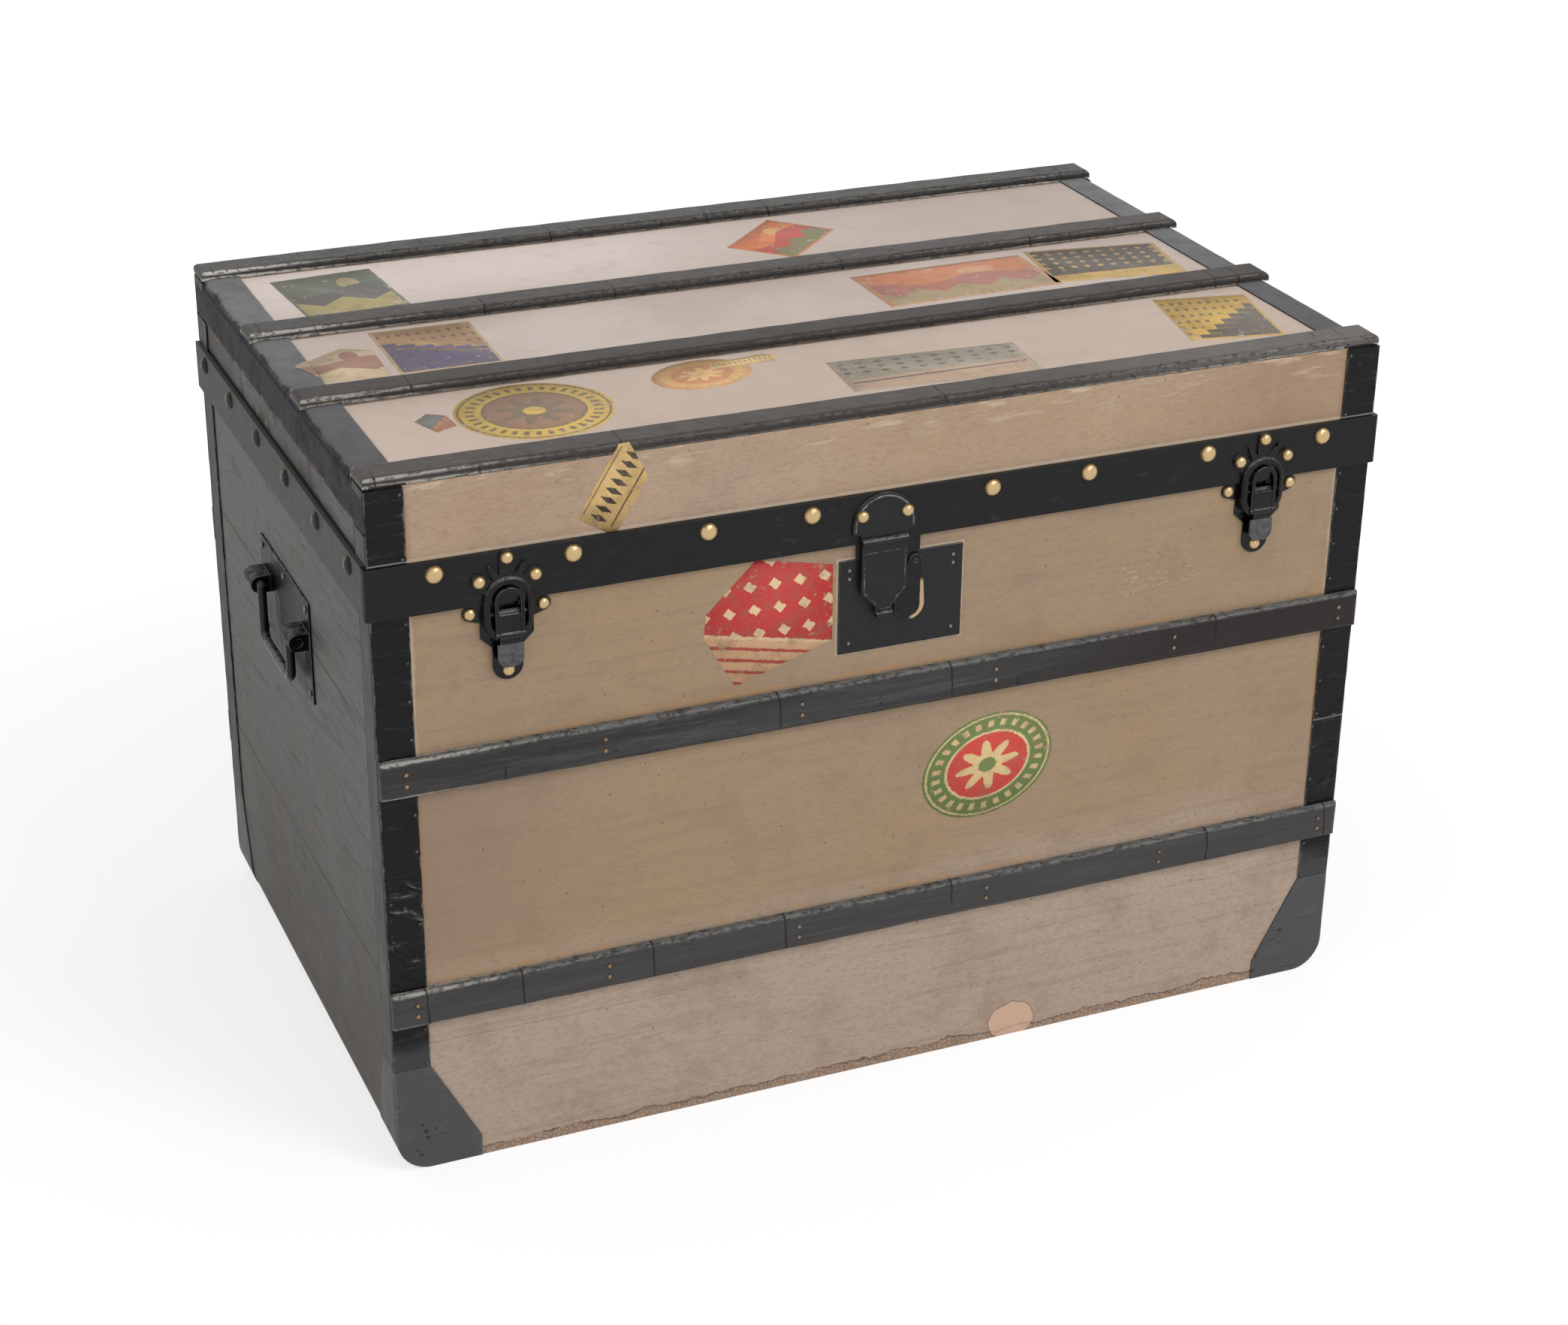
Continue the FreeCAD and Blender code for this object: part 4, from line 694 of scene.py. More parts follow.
def liningPaint():
    # lining paper with a thin printed stripe, foxed by age
    paint, tone = Paint("lining paper"), tones(finishes["lining"])
    lengthways = abs(paint.faceX).fade(0.5, 0.6)
    run = paint.x * (1 - lengthways) + paint.y * lengthways
    stripe = (run % 0.024).band(0.004, 0.0062, 0.0004) + (run % 0.024).band(0.0094, 0.0102, 0.0003)
    foxing = paint.cloud(24.0, 6.0, 0.7)
    paint.colour = paint.mix(stripe.least(1.0) * 0.55, tone["ground"], tone["stripe"])
    paint.lay(foxing.fade(0.56, 0.76) * 0.6, tone["stain"])
    paint.bump(paint.cloud(300.0, 4.0, 0.6) + foxing, 0.25, 0.0006)
    return paint.finish(0.82, specular=0.2)


paints = {
    "frontCloth": frontClothPaint(),
    "lidCloth": lidClothPaint(),
    "frontSlat": slatPaint("black slat", "frontSlat", 0.5),
    "lidSlat": slatPaint("grey slat", "lidSlat", 0.4),
    "boards": boardPaint(),
    "border": borderPaint(),
    "strip": stripPaint("creased strip", 1.0),
    "lidStrip": stripPaint("lid strip", 1.0, 0.6),
    "band": stripPaint("band leather", 0.0, 0.35, rgb(25, 25, 26)),
    "shoe": shoePaint(),
    "iron": ironPaint("black iron", 0.10),
    "lever": ironPaint("lever iron", 0.10, greyBelow=0.4800),
    "cover": ironPaint("cover iron", 0.12, worn="brassy"),
    "hasp": ironPaint("hasp iron", 0.24, rgb(22, 22, 23), bare=0.46),
    "dullIron": ironPaint("dull iron", 0.24, rgb(22, 22, 23)),
    "plateIron": ironPaint("plate iron", 0.36, rgb(31, 31, 32), 0.2),
    "endIron": ironPaint("end plate iron", 0.26, rgb(9, 9, 10), 0.04),
    "steel": steelPaint(),
    "brass": brassPaint(),
    "tack": tackPaint("tack steel", "tack"),
    "darkTack": tackPaint("painted tack", "darkTack"),
    "wood": woodPaint(),
    "lining": liningPaint(),
}
print("finishes ready:", len(paints))


def dress(finish, *nodes):
    # CAD nodes that keep their own shape
    for node in nodes:
        mesh = frame["nodes"][node].data
        mesh.materials.clear()
        mesh.materials.append(paints[finish])


def addPiece(shape, name, finish, nodes=(), body=None, weighted=True):
    mesh = bpy.data.meshes.new(name)
    for face in shape.faces:
        face.smooth = True
    shape.to_mesh(mesh)
    shape.free()
    piece = bpy.data.objects.new(name, mesh)
    scene.collection.objects.link(piece)
    mesh.materials.append(finish if isinstance(finish, bpy.types.Material) else paints[finish])
    if weighted:
        piece.modifiers.new("flat faces", "WEIGHTED_NORMAL").keep_sharp = True
    if nodes:
        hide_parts(*nodes)
    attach(piece, body or bodyOf[nodes[0]])
    return piece


def mergedCopy(node):
    shape = bmesh.new()
    shape.from_mesh(frame["nodes"][node].data)
    bmesh.ops.remove_doubles(shape, verts=shape.verts, dist=0.00001)
    bmesh.ops.dissolve_limit(
        shape, angle_limit=math.radians(0.6), verts=shape.verts, edges=shape.edges, delimit={"NORMAL"}
    )
    return shape


def partsOf(shape):
    # the separate parts in one mesh: their vertices with their lowest and highest corners
    left, parts = set(shape.verts), []
    while left:
        group, edge = set(), [next(iter(left))]
        while edge:
            vert = edge.pop()
            if vert not in group:
                group.add(vert)
                edge += [link.other_vert(vert) for link in vert.link_edges]
        left -= group
        low = Vector(min(vert.co[i] for vert in group) for i in range(3))
        high = Vector(max(vert.co[i] for vert in group) for i in range(3))
        parts.append((group, low, high))
    return sorted(parts, key=lambda part: tuple(round(place, 4) for place in part[1]))


sharpAngle = math.radians(28)


def softenEdges(shape, width, segments=2):
    # rounds the sharp edges and marks them for the paint to wear through
    edges = [edge for edge in shape.edges if len(edge.link_faces) == 2]
    edges = [edge for edge in edges if edge.calc_face_angle(0) > sharpAngle]
    made = bmesh.ops.bevel(
        shape, geom=edges, offset=width, offset_type="OFFSET", affect="EDGES", segments=segments,
        profile=0.5, material=-1, clamp_overlap=True,
    )
    rounded = set(made["faces"])
    wear = shape.verts.layers.float.get("wear") or shape.verts.layers.float.new("wear")
    for vert in shape.verts:
        vert[wear] = 1.0 if vert.link_faces and all(face in rounded for face in vert.link_faces) else 0.0


def cutAt(shape, axis, places):
    normal = Vector((0, 0, 0))
    normal[axis] = 1
    for place in places:
        geom = shape.verts[:] + shape.edges[:] + shape.faces[:]
        bmesh.ops.bisect_plane(shape, geom=geom, plane_co=normal * place, plane_no=normal, dist=0.000001)


def cutAcross(shape, axis, pitch):
    low = min(vert.co[axis] for vert in shape.verts)
    high = max(vert.co[axis] for vert in shape.verts)
    steps = max(1, round((high - low) / pitch))
    cutAt(shape, axis, [low + (high - low) * step / steps for step in range(1, steps)])


def wearLongEdges(shape, reach, along):
    # wear that fades over reach from the long edges of each straight part
    ends = [[low, high] for group, low, high in partsOf(shape)]
    for axis in range(3):
        if axis != along:
            places = [low[axis] + reach for low, high in ends] + [high[axis] - reach for low, high in ends]
            cutAt(shape, axis, sorted({round(place, 5) for place in places}))
    wear = shape.verts.layers.float["wear"]
    for group, low, high in partsOf(shape):
        for vert in group:
            near = sorted(min(vert.co[i] - low[i], high[i] - vert.co[i]) for i in range(3) if i != along)
            vert[wear] = max(0.0, 1 - near[1] / reach)


def roughen(shape, depth, size, stretch=(1, 1, 1)):
    # sinks the surface by up to depth, in dents about size long
    shape.normal_update()
    for vert in shape.verts:
        spot = Vector(part * share / size for part, share in zip(vert.co, stretch))
        vert.co -= vert.normal * depth * (0.5 + 0.5 * noise.noise(spot))


def fray(shape, axis, along, level, spread, size):
    # a torn edge on the ends: vertices near level along axis wander, by places along the edge
    for vert in shape.verts:
        if abs(vert.co.x) > 0.4485 and abs(abs(vert.co[axis]) - level) < 0.0012:
            spot = Vector((vert.co[along] / size, 3.7 * math.copysign(1, vert.co[0]), 0))
            shift = noise.noise(spot) + 0.5 * noise.noise(spot * 3.1)
            vert.co[axis] += math.copysign(spread * shift, vert.co[axis])


def softPiece(
    node, finish, width, segments=2, pitch=None, axis=0, dents=None, reach=None, torn=None, last=None
):
    shape = mergedCopy(node)
    softenEdges(shape, width, segments)
    if reach:
        wearLongEdges(shape, reach, axis)
    if pitch:
        cutAcross(shape, axis, pitch)
    if torn:
        fray(shape, *torn)
    if dents:
        roughen(shape, *dents)
    if last:
        last(shape)
    return addPiece(shape, node + "_finished", finish, [node])


# Carcass: boards, cloth and lining
dress("wood", "front_boards", "back_boards", "bottom_boards", "lid_top_boards")
dress("frontCloth", "front_canvas", "back_canvas")
dress("lidCloth", "lid_canvas")
dress("lining", "body_lining", "lid_lining")
dress("boards", "left_end_boards", "right_end_boards", "bottom_rails", "lid_rim_boards")
print("carcass dressed")

# Strips, shoes and borders: bent sheet with rolled edges, old dents and torn edges on the ends
sheetWork = {
    "edge": 0.0005, "pitch": 0.005, "dents": (0.0005, 0.016), "reach": 0.005,
    "stripTorn": (1, 2, abs(endReturn), 0.0028, 0.021),
    "borderTorn": (2, 1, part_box("lid_end_borders")[0].z, 0.0045, 0.016),
}

# folds pushed up in the front's strips above the lower slat, deep on the left, with one crease across each,
# their ridges marked for painted highlights
crumple = {
    "low": 0.182, "high": 0.284, "pitch": 0.0017, "across": 0.0016, "depth": 0.0030, "right": 0.25,
    "inner": 0.417, "face": 0.2774, "wide": 0.019, "tall": 0.0105, "crease": 0.2665, "creaseWidth": 0.0034,
    "bumpGap": 0.0145, "bumpInset": 0.0046, "bump": 0.0034,
}


def crumpleStrips(shape):
    edge, inner = abs(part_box("front_corner_bindings")[0].x), crumple["inner"]
    steps = round((crumple["high"] - crumple["low"]) / crumple["pitch"])
    cutAt(shape, 2, [crumple["low"] + step * crumple["pitch"] for step in range(steps + 1)])
    steps = int((edge - inner) / crumple["across"])
    columns = [inner + step * crumple["across"] for step in range(steps + 1)]
    cutAt(shape, 0, columns + [-place for place in columns])
    wear = shape.verts.layers.float["wear"]
    middle, half = (crumple["low"] + crumple["high"]) / 2, (crumple["high"] - crumple["low"]) / 2
    bumpLines = (inner + crumple["bumpInset"], edge - crumple["bumpInset"])
    for vert in shape.verts:
        x, y, z = vert.co
        if y < -crumple["face"] and crumple["low"] < z < crumple["high"]:
            aside = max(0.0, min(abs(x) - inner, edge - abs(x)) / 0.004)
            window = min(1.0, aside) * min(1.0, (1 - abs(z - middle) / half) * 6)
            spot = Vector(((x + 0.4 * z) / crumple["wide"], 3.4, (z - 0.5 * abs(x)) / crumple["tall"]))
            ripple = noise.noise(spot) + 0.4 * noise.noise(spot * 2.3)
            ridge = max(0.0, 1 - abs(ripple) * 3.0) * (0.65 + 0.35 * math.sin(z * 190 + x * 90))
            wobble = 0.0030 * noise.noise(Vector((x * 60, 0, 9)))
            crease = max(0.0, 1 - abs(z + wobble - crumple["crease"]) / crumple["creaseWidth"])
            row = round(z / crumple["bumpGap"]) * crumple["bumpGap"]
            off = min(abs(abs(x) - place) for place in bumpLines)
            bump = max(0.0, 1 - math.hypot(off, z - row) / crumple["bump"]) * 0.8
            fold = window * max(max(ridge, bump) * (crumple["right"] if x > 0 else 1.0), crease * 0.8, 0.0)
            vert.co.y -= crumple["depth"] * fold
            # painted highlight: the fold's strength goes into wear, so the paint brightens the ridges
            vert[wear] = max(vert[wear], min(0.88, fold * 1.35))


for node, finish, axis, torn, last in (
    ("front_corner_bindings", "strip", 2, sheetWork["stripTorn"], crumpleStrips),
    ("back_corner_bindings", "strip", 2, sheetWork["stripTorn"], None),
    ("lid_corner_bindings", "lidStrip", 2, sheetWork["stripTorn"], None),
    ("corner_shoes", "shoe", 2, None, None),
    ("lid_end_borders", "border", 1, sheetWork["borderTorn"], None),
):
    softPiece(
        node, finish, sheetWork["edge"], 2, sheetWork["pitch"], axis, sheetWork["dents"],
        sheetWork["reach"], torn, last,
    )
softPiece("lid_band", "band", 0.0009, 2, 0.01, 0, (0.0004, 0.03))
print("bindings made")

# Slats: planed strips, rubbed and dented over the years
slatWork = {"edge": 0.0010, "pitch": 0.006, "dents": (0.0008, 0.014, (0.5, 1, 1)), "reach": 0.0055}
for node in ("upper_front_slat", "lower_front_slat", "back_slats", "lid_slats"):
    finish = "lidSlat" if node == "lid_slats" else "frontSlat"
    softPiece(node, finish, slatWork["edge"], 2, slatWork["pitch"], 0, slatWork["dents"], slatWork["reach"])
print("slats made")

# Hardware, with the width of each piece's rounded edges
for node, finish, width in (
    ("left_catch_plate", "iron", 0.0006),
    ("right_catch_plate", "iron", 0.0006),
    ("left_keeper_plate", "iron", 0.0004),
    ("right_keeper_plate", "iron", 0.0004),
    ("left_catch_ring", "iron", 0.0011),
    ("right_catch_ring", "iron", 0.0011),
    ("left_catch_lever", "lever", 0.0009),
    ("right_catch_lever", "lever", 0.0009),
    ("lock_plate", "plateIron", 0.0004),
    ("left_handle_plate", "endIron", 0.0005),
    ("right_handle_plate", "endIron", 0.0005),
    ("hinge_body_leaves", "dullIron", 0.0004),
    ("hinge_lid_leaves", "dullIron", 0.0004),
    ("left_stay", "steel", 0.0004),
    ("right_stay", "steel", 0.0004),
):
    softPiece(node, finish, width)
softPiece("keyhole_cover", "cover", 0.0009, 3)

# The hasp is stamped with a low bead: round the plate's head, and inside the tongue's outline
# worn and tongueWorn mark the beads' wear, painted pale as rubbed iron and as the beads' highlight
stamping = {
    "edge": 0.0006, "reach": 0.0258, "half": 0.0009, "rise": 0.0007, "sunk": 0.0002, "from": -8, "to": 188,
    "inset": 0.0013, "slope": 0.0004, "width": 0.0009, "tongueRise": 0.0005, "worn": 0.48,
    "tongueWorn": 0.34, "below": 0.0105,
}


def headBead(shape):
    # a half-round section spun about the middle of the head
    low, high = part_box("hasp_plate")
    wear = shape.verts.layers.float["wear"]
    middle = Vector(((low.x + high.x) / 2, 0, high.z - (high.x - low.x) / 2))
    face = max((face for face in shape.faces if face.normal.y < -0.9), key=lambda face: face.calc_area())
    level = face.calc_center_median().y + stamping["sunk"]
    made = bmesh.ops.create_circle(shape, segments=10, radius=1, cap_ends=False)["verts"]
    start = Matrix.Rotation(-math.radians(stamping["from"]), 4, "Y")
    shift = Matrix.Translation(middle + Vector((0, level, 0)))
    outward = Matrix.Translation((stamping["reach"], 0, 0))
    size = Matrix.Diagonal((stamping["half"], stamping["rise"] + stamping["sunk"], 1, 1))
    bmesh.ops.transform(shape, matrix=shift @ start @ outward @ size, verts=made)
    for vert in made:
        vert[wear] = stamping["worn"]
    edges = list({edge for vert in made for edge in vert.link_edges})
    bmesh.ops.spin(
        shape, geom=made + edges, cent=middle, axis=(0, -1, 0), steps=48,
        angle=math.radians(stamping["to"] - stamping["from"]),
    )
    ends = [edge for edge in shape.edges if edge.is_boundary]
    bmesh.ops.holes_fill(shape, edges=ends, sides=0)


def tongueBead(shape):
    wear = shape.verts.layers.float["wear"]
    cutAt(shape, 2, [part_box("hasp_tongue")[1].z - stamping["below"]])    # clear of the knuckle
    face = max((face for face in shape.faces if face.normal.y < -0.9), key=lambda face: face.calc_area())
    inset = {"faces": [face], "use_even_offset": True}
    slope, rise = stamping["slope"], stamping["tongueRise"]
    bmesh.ops.inset_region(shape, thickness=stamping["inset"], depth=0, **inset)
    bmesh.ops.inset_region(shape, thickness=slope, depth=rise, **inset)
    ring = bmesh.ops.inset_region(shape, thickness=stamping["width"], depth=0, **inset)["faces"]
    bmesh.ops.inset_region(shape, thickness=slope, depth=-rise, **inset)
    for vert in {vert for face in ring for vert in face.verts}:
        vert[wear] = stamping["tongueWorn"]


for node, bead in (("hasp_plate", headBead), ("hasp_tongue", tongueBead)):
    shape = mergedCopy(node)
    softenEdges(shape, stamping["edge"])
    bead(shape)
    bmesh.ops.recalc_face_normals(shape, faces=shape.faces)
    addPiece(shape, node + "_finished", "hasp", [node])

dress("dullIron", "left_handle_bail", "right_handle_bail", "hasp_pin")
dress("brass", "lock_bolt")
dress("steel", "lock_case", "catch_pins", "left_ring_pin", "right_ring_pin")
dress("steel", "hinge_pins", "stay_studs", "stay_rivets")
print("hardware made")

# Nails: spun heads, each a little out of true; the profile is in shares of the radius and the height
nailHeads = {
    "profile": ((0.0, 1.0), (0.34, 0.955), (0.62, 0.80), (0.82, 0.55), (0.94, 0.24), (1.0, 0.0)),
    "tilt": 3.5,
    "seed": 7,
}


def nailPiece(node, finish, sides):
    chance = random.Random(nailHeads["seed"])
    source = mergedCopy(node)
    heads = [(low, high) for group, low, high in partsOf(source)]
    source.free()
    whole = bmesh.new()
    wear = whole.verts.layers.float.new("wear")
    for low, high in heads:
        size, middle = high - low, (low + high) / 2
        axis = min(range(3), key=lambda i: size[i])
        outward = Vector((0, 0, 0))
        outward[axis] = math.copysign(1, middle[axis])
        radius, height = max(size) / 2, size[axis]
        profile = [whole.verts.new((out * radius, 0, rise * height)) for out, rise in nailHeads["profile"]]
        for vert in profile:
            vert[wear] = vert.co.z / height
        edges = [whole.edges.new(pair) for pair in zip(profile, profile[1:])]
        bmesh.ops.spin(
            whole, geom=profile + edges, cent=(0, 0, 0), axis=(0, 0, 1), angle=math.tau, steps=sides,
            use_merge=True,
        )
        head = [vert for vert in whole.verts if not vert.tag]
        bmesh.ops.remove_doubles(whole, verts=head, dist=radius * 0.01)
        head = [vert for vert in whole.verts if not vert.tag]
        lean = Matrix.Rotation(math.radians(chance.uniform(-1, 1) * nailHeads["tilt"]), 4, "X")
        turn = Vector((0, 0, 1)).rotation_difference(outward).to_matrix().to_4x4()
        spun = Matrix.Rotation(chance.uniform(0, math.tau), 4, "Z")
        place = Matrix.Translation(middle - outward * (height / 2))
        bmesh.ops.transform(whole, matrix=place @ turn @ spun @ lean, verts=head)
        for vert in head:
            vert.tag = True
    bmesh.ops.recalc_face_normals(whole, faces=whole.faces)
    return addPiece(whole, node + "_finished", finish, [node], weighted=False)


for node, finish, sides in (
    ("band_studs", "brass", 24),
    ("catch_nails", "brass", 20),
    ("lid_fitting_nails", "brass", 20),
    ("handle_rivets", "dullIron", 12),
    ("slat_nails", "tack", 10),
    ("body_tacks", "darkTack", 10),
    ("lid_tacks", "darkTack", 10),
    ("lock_nails", "dullIron", 10),
):
    nailPiece(node, finish, sides)
print("nails made")

# Labels: plain printed papers of no one's make, pasted on the cloth; u and v run from -1 to 1 over each
paper = {"thickness": 0.0002, "sunk": 0.00005, "ragged": 0.0005, "edgeCuts": 14, "faded": 0.16, "seed": 7}
square = ((-1, -1), (1, -1), (1, 1), (-1, 1))


def border(paint, u, v, width):
    return abs(u).top(abs(v)).fade(1 - width, 1 - width + 0.01)


def ringDesign(paint, u, v, ink):
    # a ring of ticks round a lozenge on a disc
    reach = (u * u + v * v).root()
    turn = v.maths("ARCTAN2", v, u) * (ink["ticks"] / math.tau) + 20
    paint.colour = paint.mix(reach.fade(0.63, 0.65), ink["disc"], ink["ring"])
    ticks = (turn % 1.0).band(0.28, 0.72, 0.04) * reach.band(0.74, 0.86, 0.015)
    paint.lay(ticks, ink["mark"])
    paint.lay(reach.band(0.62, 0.66, 0.012), ink["line"])
    paint.lay(reach.band(0.93, 0.96, 0.012), ink["line"])
    petals = turn.maths("COSINE", turn * (math.tau * 8 / ink["ticks"])) * 0.13 + 0.36
    paint.lay((reach - petals).fade(0.01, -0.01), ink["mark"])
    paint.lay(reach.fade(0.15, 0.13), ink["ring"])


def hillsDesign(paint, u, v, ink):
    # two rows of hills under a low sun
    far = (u * ink["far"]).sine() * 0.16 + 0.18
    near = abs((u * ink["near"]) % 2.0 - 1.0) * 0.34 - 0.52
    across, up = u - 0.35, (v - 0.45) * 0.8
    paint.colour = paint.mix((across * across + up * up).fade(0.050, 0.042), ink["sky"], ink["sun"])
    paint.lay((v - far).fade(0.015, -0.015), ink["hill"])
    paint.lay((v - near).fade(0.015, -0.015), ink["ground"])
    paint.lay(border(paint, u, v, 0.07), ink["edge"])


def splitDesign(paint, u, v, ink):
    # two fields parted by steps, dots in the upper one
    steps = u.maths("FLOOR", u * ink["steps"]) / ink["steps"]
    part = v - steps * ink["slope"] - ink["level"]
    paint.colour = paint.mix(part.fade(-0.012, 0.012), ink["low"], ink["high"])
    stripe = part.band(-0.24, -0.16, 0.012)
    paint.lay(stripe, ink["mark"])
    across, up = (u * 5.0) % 1.0 - 0.5, (v * 3.4) % 1.0 - 0.5
    dots = (across * across + up * up).fade(0.060, 0.040) * part.fade(0.22, 0.26)
    paint.lay(dots, ink["mark"])
    paint.lay(border(paint, u, v, 0.07), ink["edge"])


def barsDesign(paint, u, v, ink):
    # a row of lozenges between thin lines
    across = abs((u * ink["lozenges"]) % 1.0 - 0.5)
    row = (across * 1.5 + abs(v - 0.1) * 1.1).fade(0.52, 0.48) * abs(u).fade(0.90, 0.88)
    paint.colour = paint.mix(row, ink["ground"], ink["mark"])
    lines = v.band(-0.66, -0.58, 0.02) + v.band(0.80, 0.85, 0.02)
    lines = lines.least(1.0) * abs(u).fade(0.86, 0.84)
    paint.lay(lines, ink["line"])


def tagDesign(paint, u, v, ink):
    # a lozenge check over a lined foot
    check = abs((u * 2.6 + v * 0.5) % 1.0 - 0.5) + abs((v * 2.6) % 1.0 - 0.5)
    upper = (v + u * 0.22).fade(-0.34, -0.32)
    paint.colour = paint.mix(check.fade(0.27, 0.25) * upper, ink["field"], ink["mark"])
    paint.lay(1 - upper, ink["foot"])
    lines = ((v + u * 0.22) % 0.19).band(0.05, 0.10, 0.01) * (1 - upper)
    paint.lay(lines, ink["line"])
    rule = (v + u * 0.22).band(-0.34, -0.29, 0.01)
    paint.lay(rule, ink["mark"])


labels = {
    "lid_front_label": {
        "on": "lidFront", "centre": (-0.2450, 0.5920), "half": (0.0365, 0.0185), "turn": 58,
        "design": barsDesign, "outline": ((-1, -1), (0.50, -1), (1.0, 0.62), (0.86, 1), (-1, 1)),
        "lozenges": 4.5, "ground": (206, 172, 112), "mark": (42, 36, 30), "line": (86, 66, 44),
    },
    "tag_label": {
        "on": "bodyFront", "centre": (-0.1160, 0.4560), "half": (0.0575, 0.0550), "turn": 0,
        "design": tagDesign,
        "outline": ((-1.0, -0.14), (-0.52, -1.0), (0.98, -0.50), (0.97, 0.74), (-0.22, 1.0), (-0.97, 0.24)),
        "field": (186, 38, 42), "mark": (224, 192, 150), "foot": (214, 170, 130),
        "line": (176, 62, 54),
    },
    "ring_label": {
        "on": "bodyFront", "centre": (0.0895, 0.2830), "half": (0.0630, 0.0480), "turn": 15,
        "design": ringDesign, "outline": "oval", "ticks": 26, "ring": (96, 124, 62),
        "disc": (200, 54, 44), "mark": (214, 186, 132), "line": (222, 198, 148),
    },
    "green_label": {
        "centre": (-0.3430, 0.1750), "half": (0.0470, 0.0540), "turn": 4, "design": hillsDesign,
        "far": 3.0, "near": 2.0, "sky": (96, 112, 98), "sun": (196, 178, 132), "hill": (82, 88, 88),
        "ground": (178, 164, 108), "edge": (104, 120, 102),
    },
    "slanted_label": {
        "centre": (0.0850, 0.1790), "half": (0.0470, 0.0350), "turn": 44, "design": hillsDesign,
        "far": 4.0, "near": 3.0, "sky": (230, 122, 62), "sun": (240, 178, 104),
        "hill": (196, 60, 44), "ground": (120, 118, 78), "edge": (222, 132, 84),
    },
    "fan_label": {
        "centre": (-0.3930, -0.0040), "half": (0.0380, 0.0400), "turn": 0, "design": hillsDesign,
        "outline": ((-0.95, 0.15), (-0.50, -0.95), (0.90, -1.0), (0.95, 0.62), (0.30, 0.95), (-0.45, 0.50)),
        "over": (-0.4157, 0.0015), "far": 2.0, "near": 1.4, "sky": (206, 180, 144),
        "sun": (150, 96, 80), "hill": (158, 110, 86), "ground": (214, 190, 150),
        "edge": (212, 188, 150),
    },
    "blue_label": {
        "centre": (-0.3050, 0.0080), "half": (0.0450, 0.0540), "turn": -1, "design": splitDesign,
        "steps": 3.0, "slope": -0.35, "level": 0.05, "high": (188, 144, 96), "low": (66, 66, 106),
        "mark": (120, 86, 66), "edge": (206, 178, 134),
    },
    "orange_label": {
        "centre": (0.1850, 0.0080), "half": (0.0860, 0.0440), "turn": 1, "design": hillsDesign,
        "far": 5.0, "near": 4.0, "sky": (214, 128, 84), "sun": (222, 160, 116),
        "hill": (178, 108, 96), "ground": (168, 148, 108), "edge": (208, 146, 104),
    },
    "dark_label": {
        "centre": (0.3360, 0.0060), "half": (0.0640, 0.0450), "turn": -8, "design": splitDesign,
        "steps": 9.0, "slope": 0.10, "level": -0.52, "high": (62, 60, 58), "low": (206, 168, 88),
        "mark": (196, 160, 88), "edge": (208, 168, 88),
    },
    "yellow_ring_label": {
        "centre": (-0.2750, -0.1640), "half": (0.0660, 0.0620), "turn": 8, "design": ringDesign,
        "outline": "oval", "ticks": 34, "ring": (222, 184, 72), "disc": (148, 108, 78),
        "mark": (112, 92, 64), "line": (104, 88, 62),
    },
    "scrap_label": {
        "centre": (-0.3560, -0.1600), "half": (0.0140, 0.0200), "turn": 14, "design": splitDesign,
        "outline": ((-0.8, -1), (0.7, -0.8), (1, 0.4), (0.2, 1), (-1, 0.5)), "steps": 4.0,
        "slope": 0.6, "level": 0.0, "high": (86, 108, 108), "low": (156, 92, 58),
        "mark": (188, 140, 96), "edge": (150, 120, 94),
    },
    "amber_ring_label": {
        "centre": (-0.1190, -0.1350), "half": (0.0450, 0.0320), "turn": 10, "design": ringDesign,
        "outline": "oval", "ticks": 22, "ring": (222, 168, 96), "disc": (206, 134, 78),
        "mark": (226, 186, 120), "line": (216, 160, 96),
    },
    "amber_strip_label": {
        "centre": (-0.0760, -0.1190), "half": (0.0330, 0.0090), "turn": 4, "design": barsDesign,
        "outline": ((-1, -0.7), (0.8, -1), (1, 0.3), (0.7, 1), (-0.9, 0.8)), "lozenges": 7,
        "stack": 1, "ground": (224, 192, 130), "mark": (178, 140, 84), "line": (190, 154, 96),
    },
    "grey_label": {
        "centre": (0.0700, -0.1890), "half": (0.0850, 0.0360), "turn": -4, "design": splitDesign,
        "steps": 12.0, "slope": 0.15, "level": -0.15, "high": (158, 150, 132),
        "low": (190, 160, 134), "mark": (84, 84, 82), "edge": (178, 164, 140),
    },
    "yellow_label": {
        "centre": (0.3560, -0.1660), "half": (0.0430, 0.0540), "turn": -11, "design": splitDesign,
        "steps": 4.0, "slope": 0.9, "level": -0.10, "high": (222, 178, 70), "low": (74, 72, 68),
        "mark": (120, 100, 60), "edge": (216, 174, 78),
    },
}

surfaces = {
    "bodyFront": {"body": "body", "level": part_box("front_canvas")[0].y, "cloth": (168, 144, 120)},
    "lidFront": {"body": "lid", "level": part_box("lid_canvas")[0].y, "cloth": (172, 148, 124)},
    "lidTop": {"body": "lid", "level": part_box("lid_canvas")[1].z, "cloth": (198, 184, 172)},
}


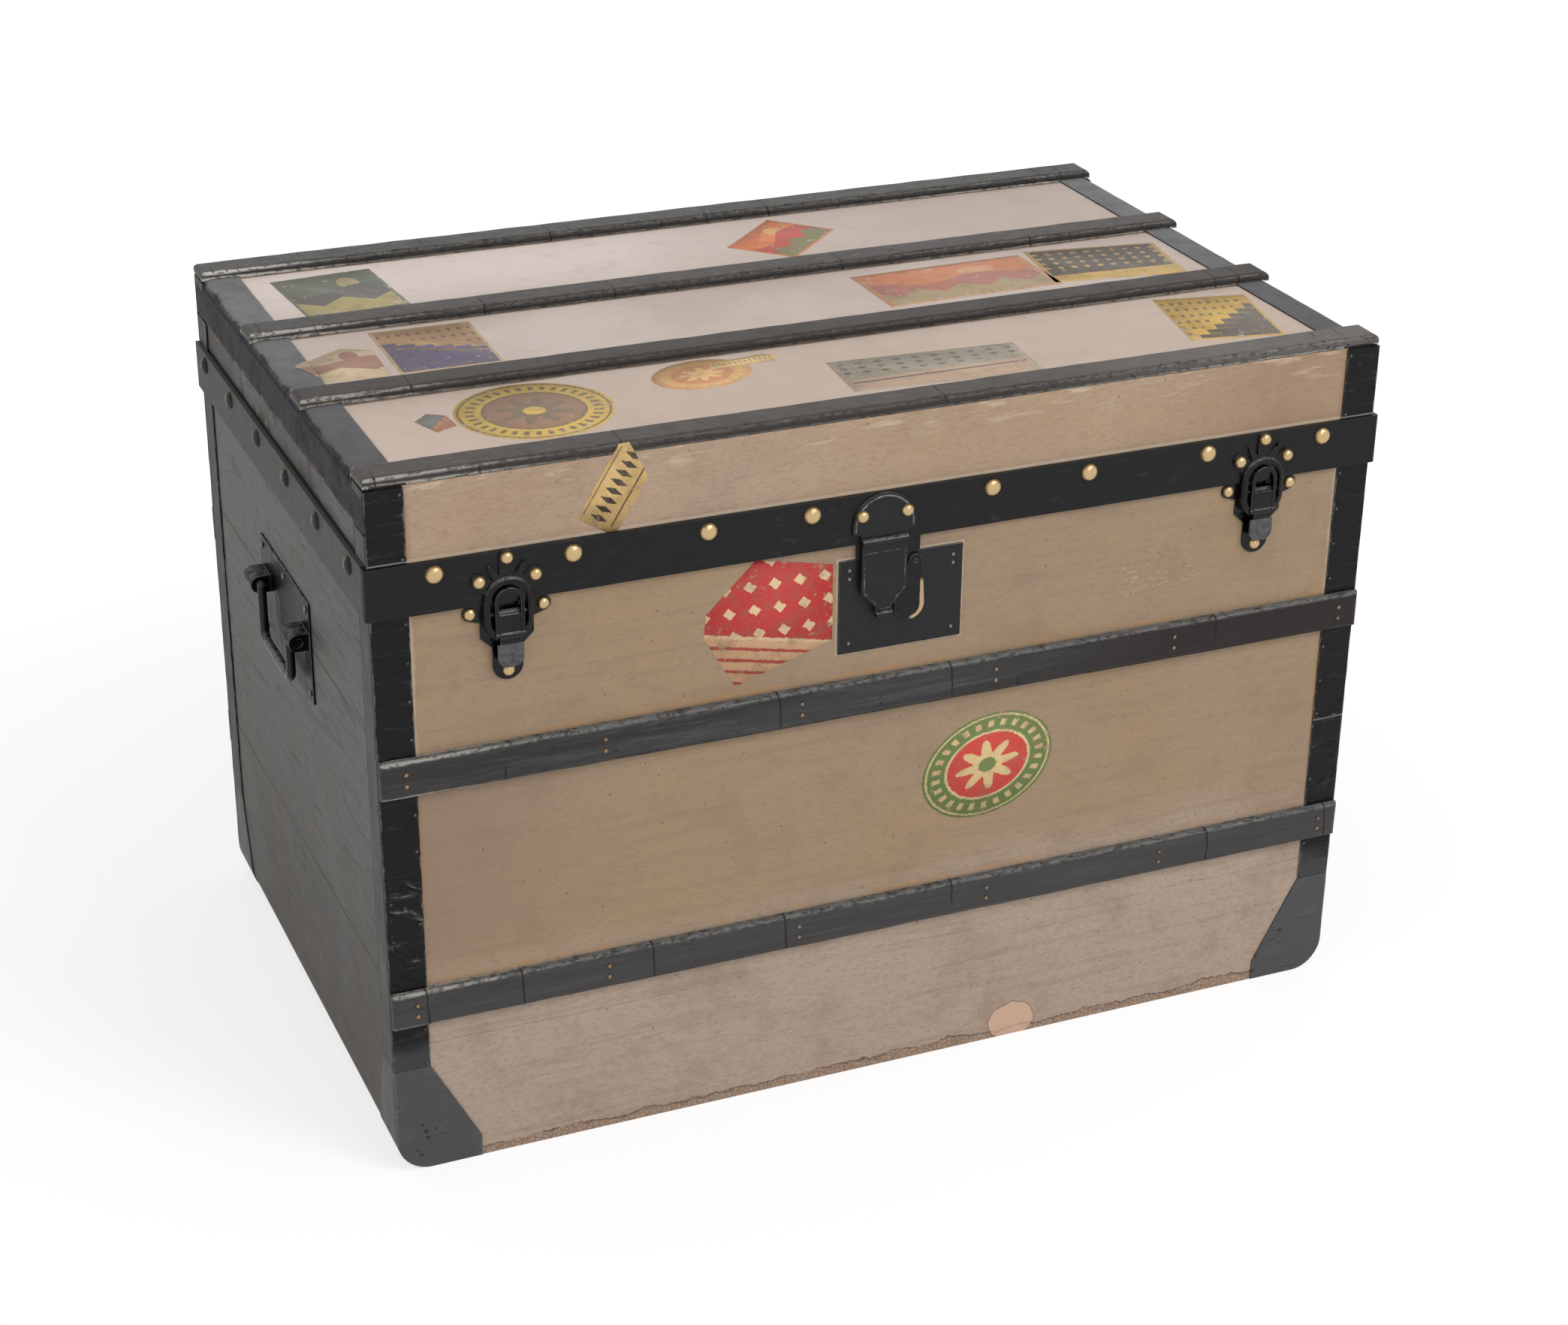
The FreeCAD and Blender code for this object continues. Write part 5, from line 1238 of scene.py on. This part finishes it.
def labelPaint(name, spec):
    # ink on old paper, scuffed through to the cloth near its edges
    paint = Paint(name)
    up = paint.y if spec["on"] == "lidTop" else paint.z
    across, up = paint.x - spec["centre"][0], up - spec["centre"][1]
    cosine, sine = math.cos(math.radians(spec["turn"])), math.sin(math.radians(spec["turn"]))
    u = (across * cosine + up * sine) / spec["half"][0]
    v = (up * cosine - across * sine) / spec["half"][1]
    blur = (paint.cloud(420.0, 2.0, 0.6) - 0.5) * 0.05
    ink = {**spec, **tones(spec)}
    spec["design"](paint, u + blur, v + blur, ink)
    grime = paint.cloud(75.0, 5.0, 0.66)
    cloth = rgb(*surfaces[spec["on"]]["cloth"])
    paint.lay(grime.fade(0.44, 0.72) * 0.45, rgb(122, 96, 74))
    paint.lay(paper["faded"] if spec["on"] == "lidTop" else 0.04, cloth)
    paint.lay(paint.cloud(700.0, 2.0, 0.7).fade(0.44, 0.70) * 0.22, cloth)
    rim = (u * u).top(v * v)
    scuffed = (paint.cloud(120.0, 5.0, 0.72) + rim * 0.10).fade(0.655, 0.700)
    paint.lay(scuffed * 0.85, cloth)
    weave(paint, paint.x, paint.y + paint.z)
    paint.bump(grime - scuffed * 0.6, 0.4, 0.0008)
    return paint.finish(0.46 + 0.2 * grime, specular=0.3)


def labelPiece(name, spec):
    shape = bmesh.new()
    if spec["outline"] == "oval":
        bmesh.ops.create_circle(shape, cap_ends=True, segments=64, radius=1)
    else:
        shape.faces.new([shape.verts.new((u, v, 0)) for u, v in spec["outline"]])
        bmesh.ops.subdivide_edges(shape, edges=shape.edges[:], cuts=paper["edgeCuts"])
    size = Matrix.Diagonal((spec["half"][0], spec["half"][1], 1, 1))
    turn = Matrix.Rotation(math.radians(spec["turn"]), 4, "Z")
    bmesh.ops.transform(shape, matrix=turn @ size, verts=shape.verts)
    for vert in shape.verts:
        tear = noise.noise_vector(vert.co * 260 + Vector((spec["centre"][0] * 90, 0, 0)))
        vert.co += Vector((tear.x, tear.y, 0)) * paper["ragged"]
    made = bmesh.ops.extrude_face_region(shape, geom=shape.faces[:])
    raised = [item for item in made["geom"] if isinstance(item, bmesh.types.BMVert)]
    bmesh.ops.translate(shape, vec=(0, 0, paper["thickness"]), verts=raised)
    level = surfaces[spec["on"]]["level"] + paper["thickness"] * spec.get("stack", 0)
    if spec["on"] == "lidTop":
        place = Matrix.Translation((*spec["centre"], level - paper["sunk"]))
    else:
        upright = Matrix.Rotation(math.radians(90), 4, "X")
        place = Matrix.Translation((spec["centre"][0], level + paper["sunk"], spec["centre"][1])) @ upright
    bmesh.ops.transform(shape, matrix=place, verts=shape.verts)
    if "over" in spec:
        edge, rise = spec["over"]
        cutAt(shape, 0, (edge - 0.0004, edge + 0.0014))
        for vert in shape.verts:
            if vert.co.x < edge:
                vert.co.z += rise
    bmesh.ops.recalc_face_normals(shape, faces=shape.faces)
    body = surfaces[spec["on"]]["body"]
    return addPiece(shape, name, labelPaint(name, spec), body=body, weighted=False)


noise.seed_set(paper["seed"])
for name, spec in labels.items():
    labelPiece(name, {"on": "lidTop", "outline": square, **spec})
print("labels made:", len(labels))
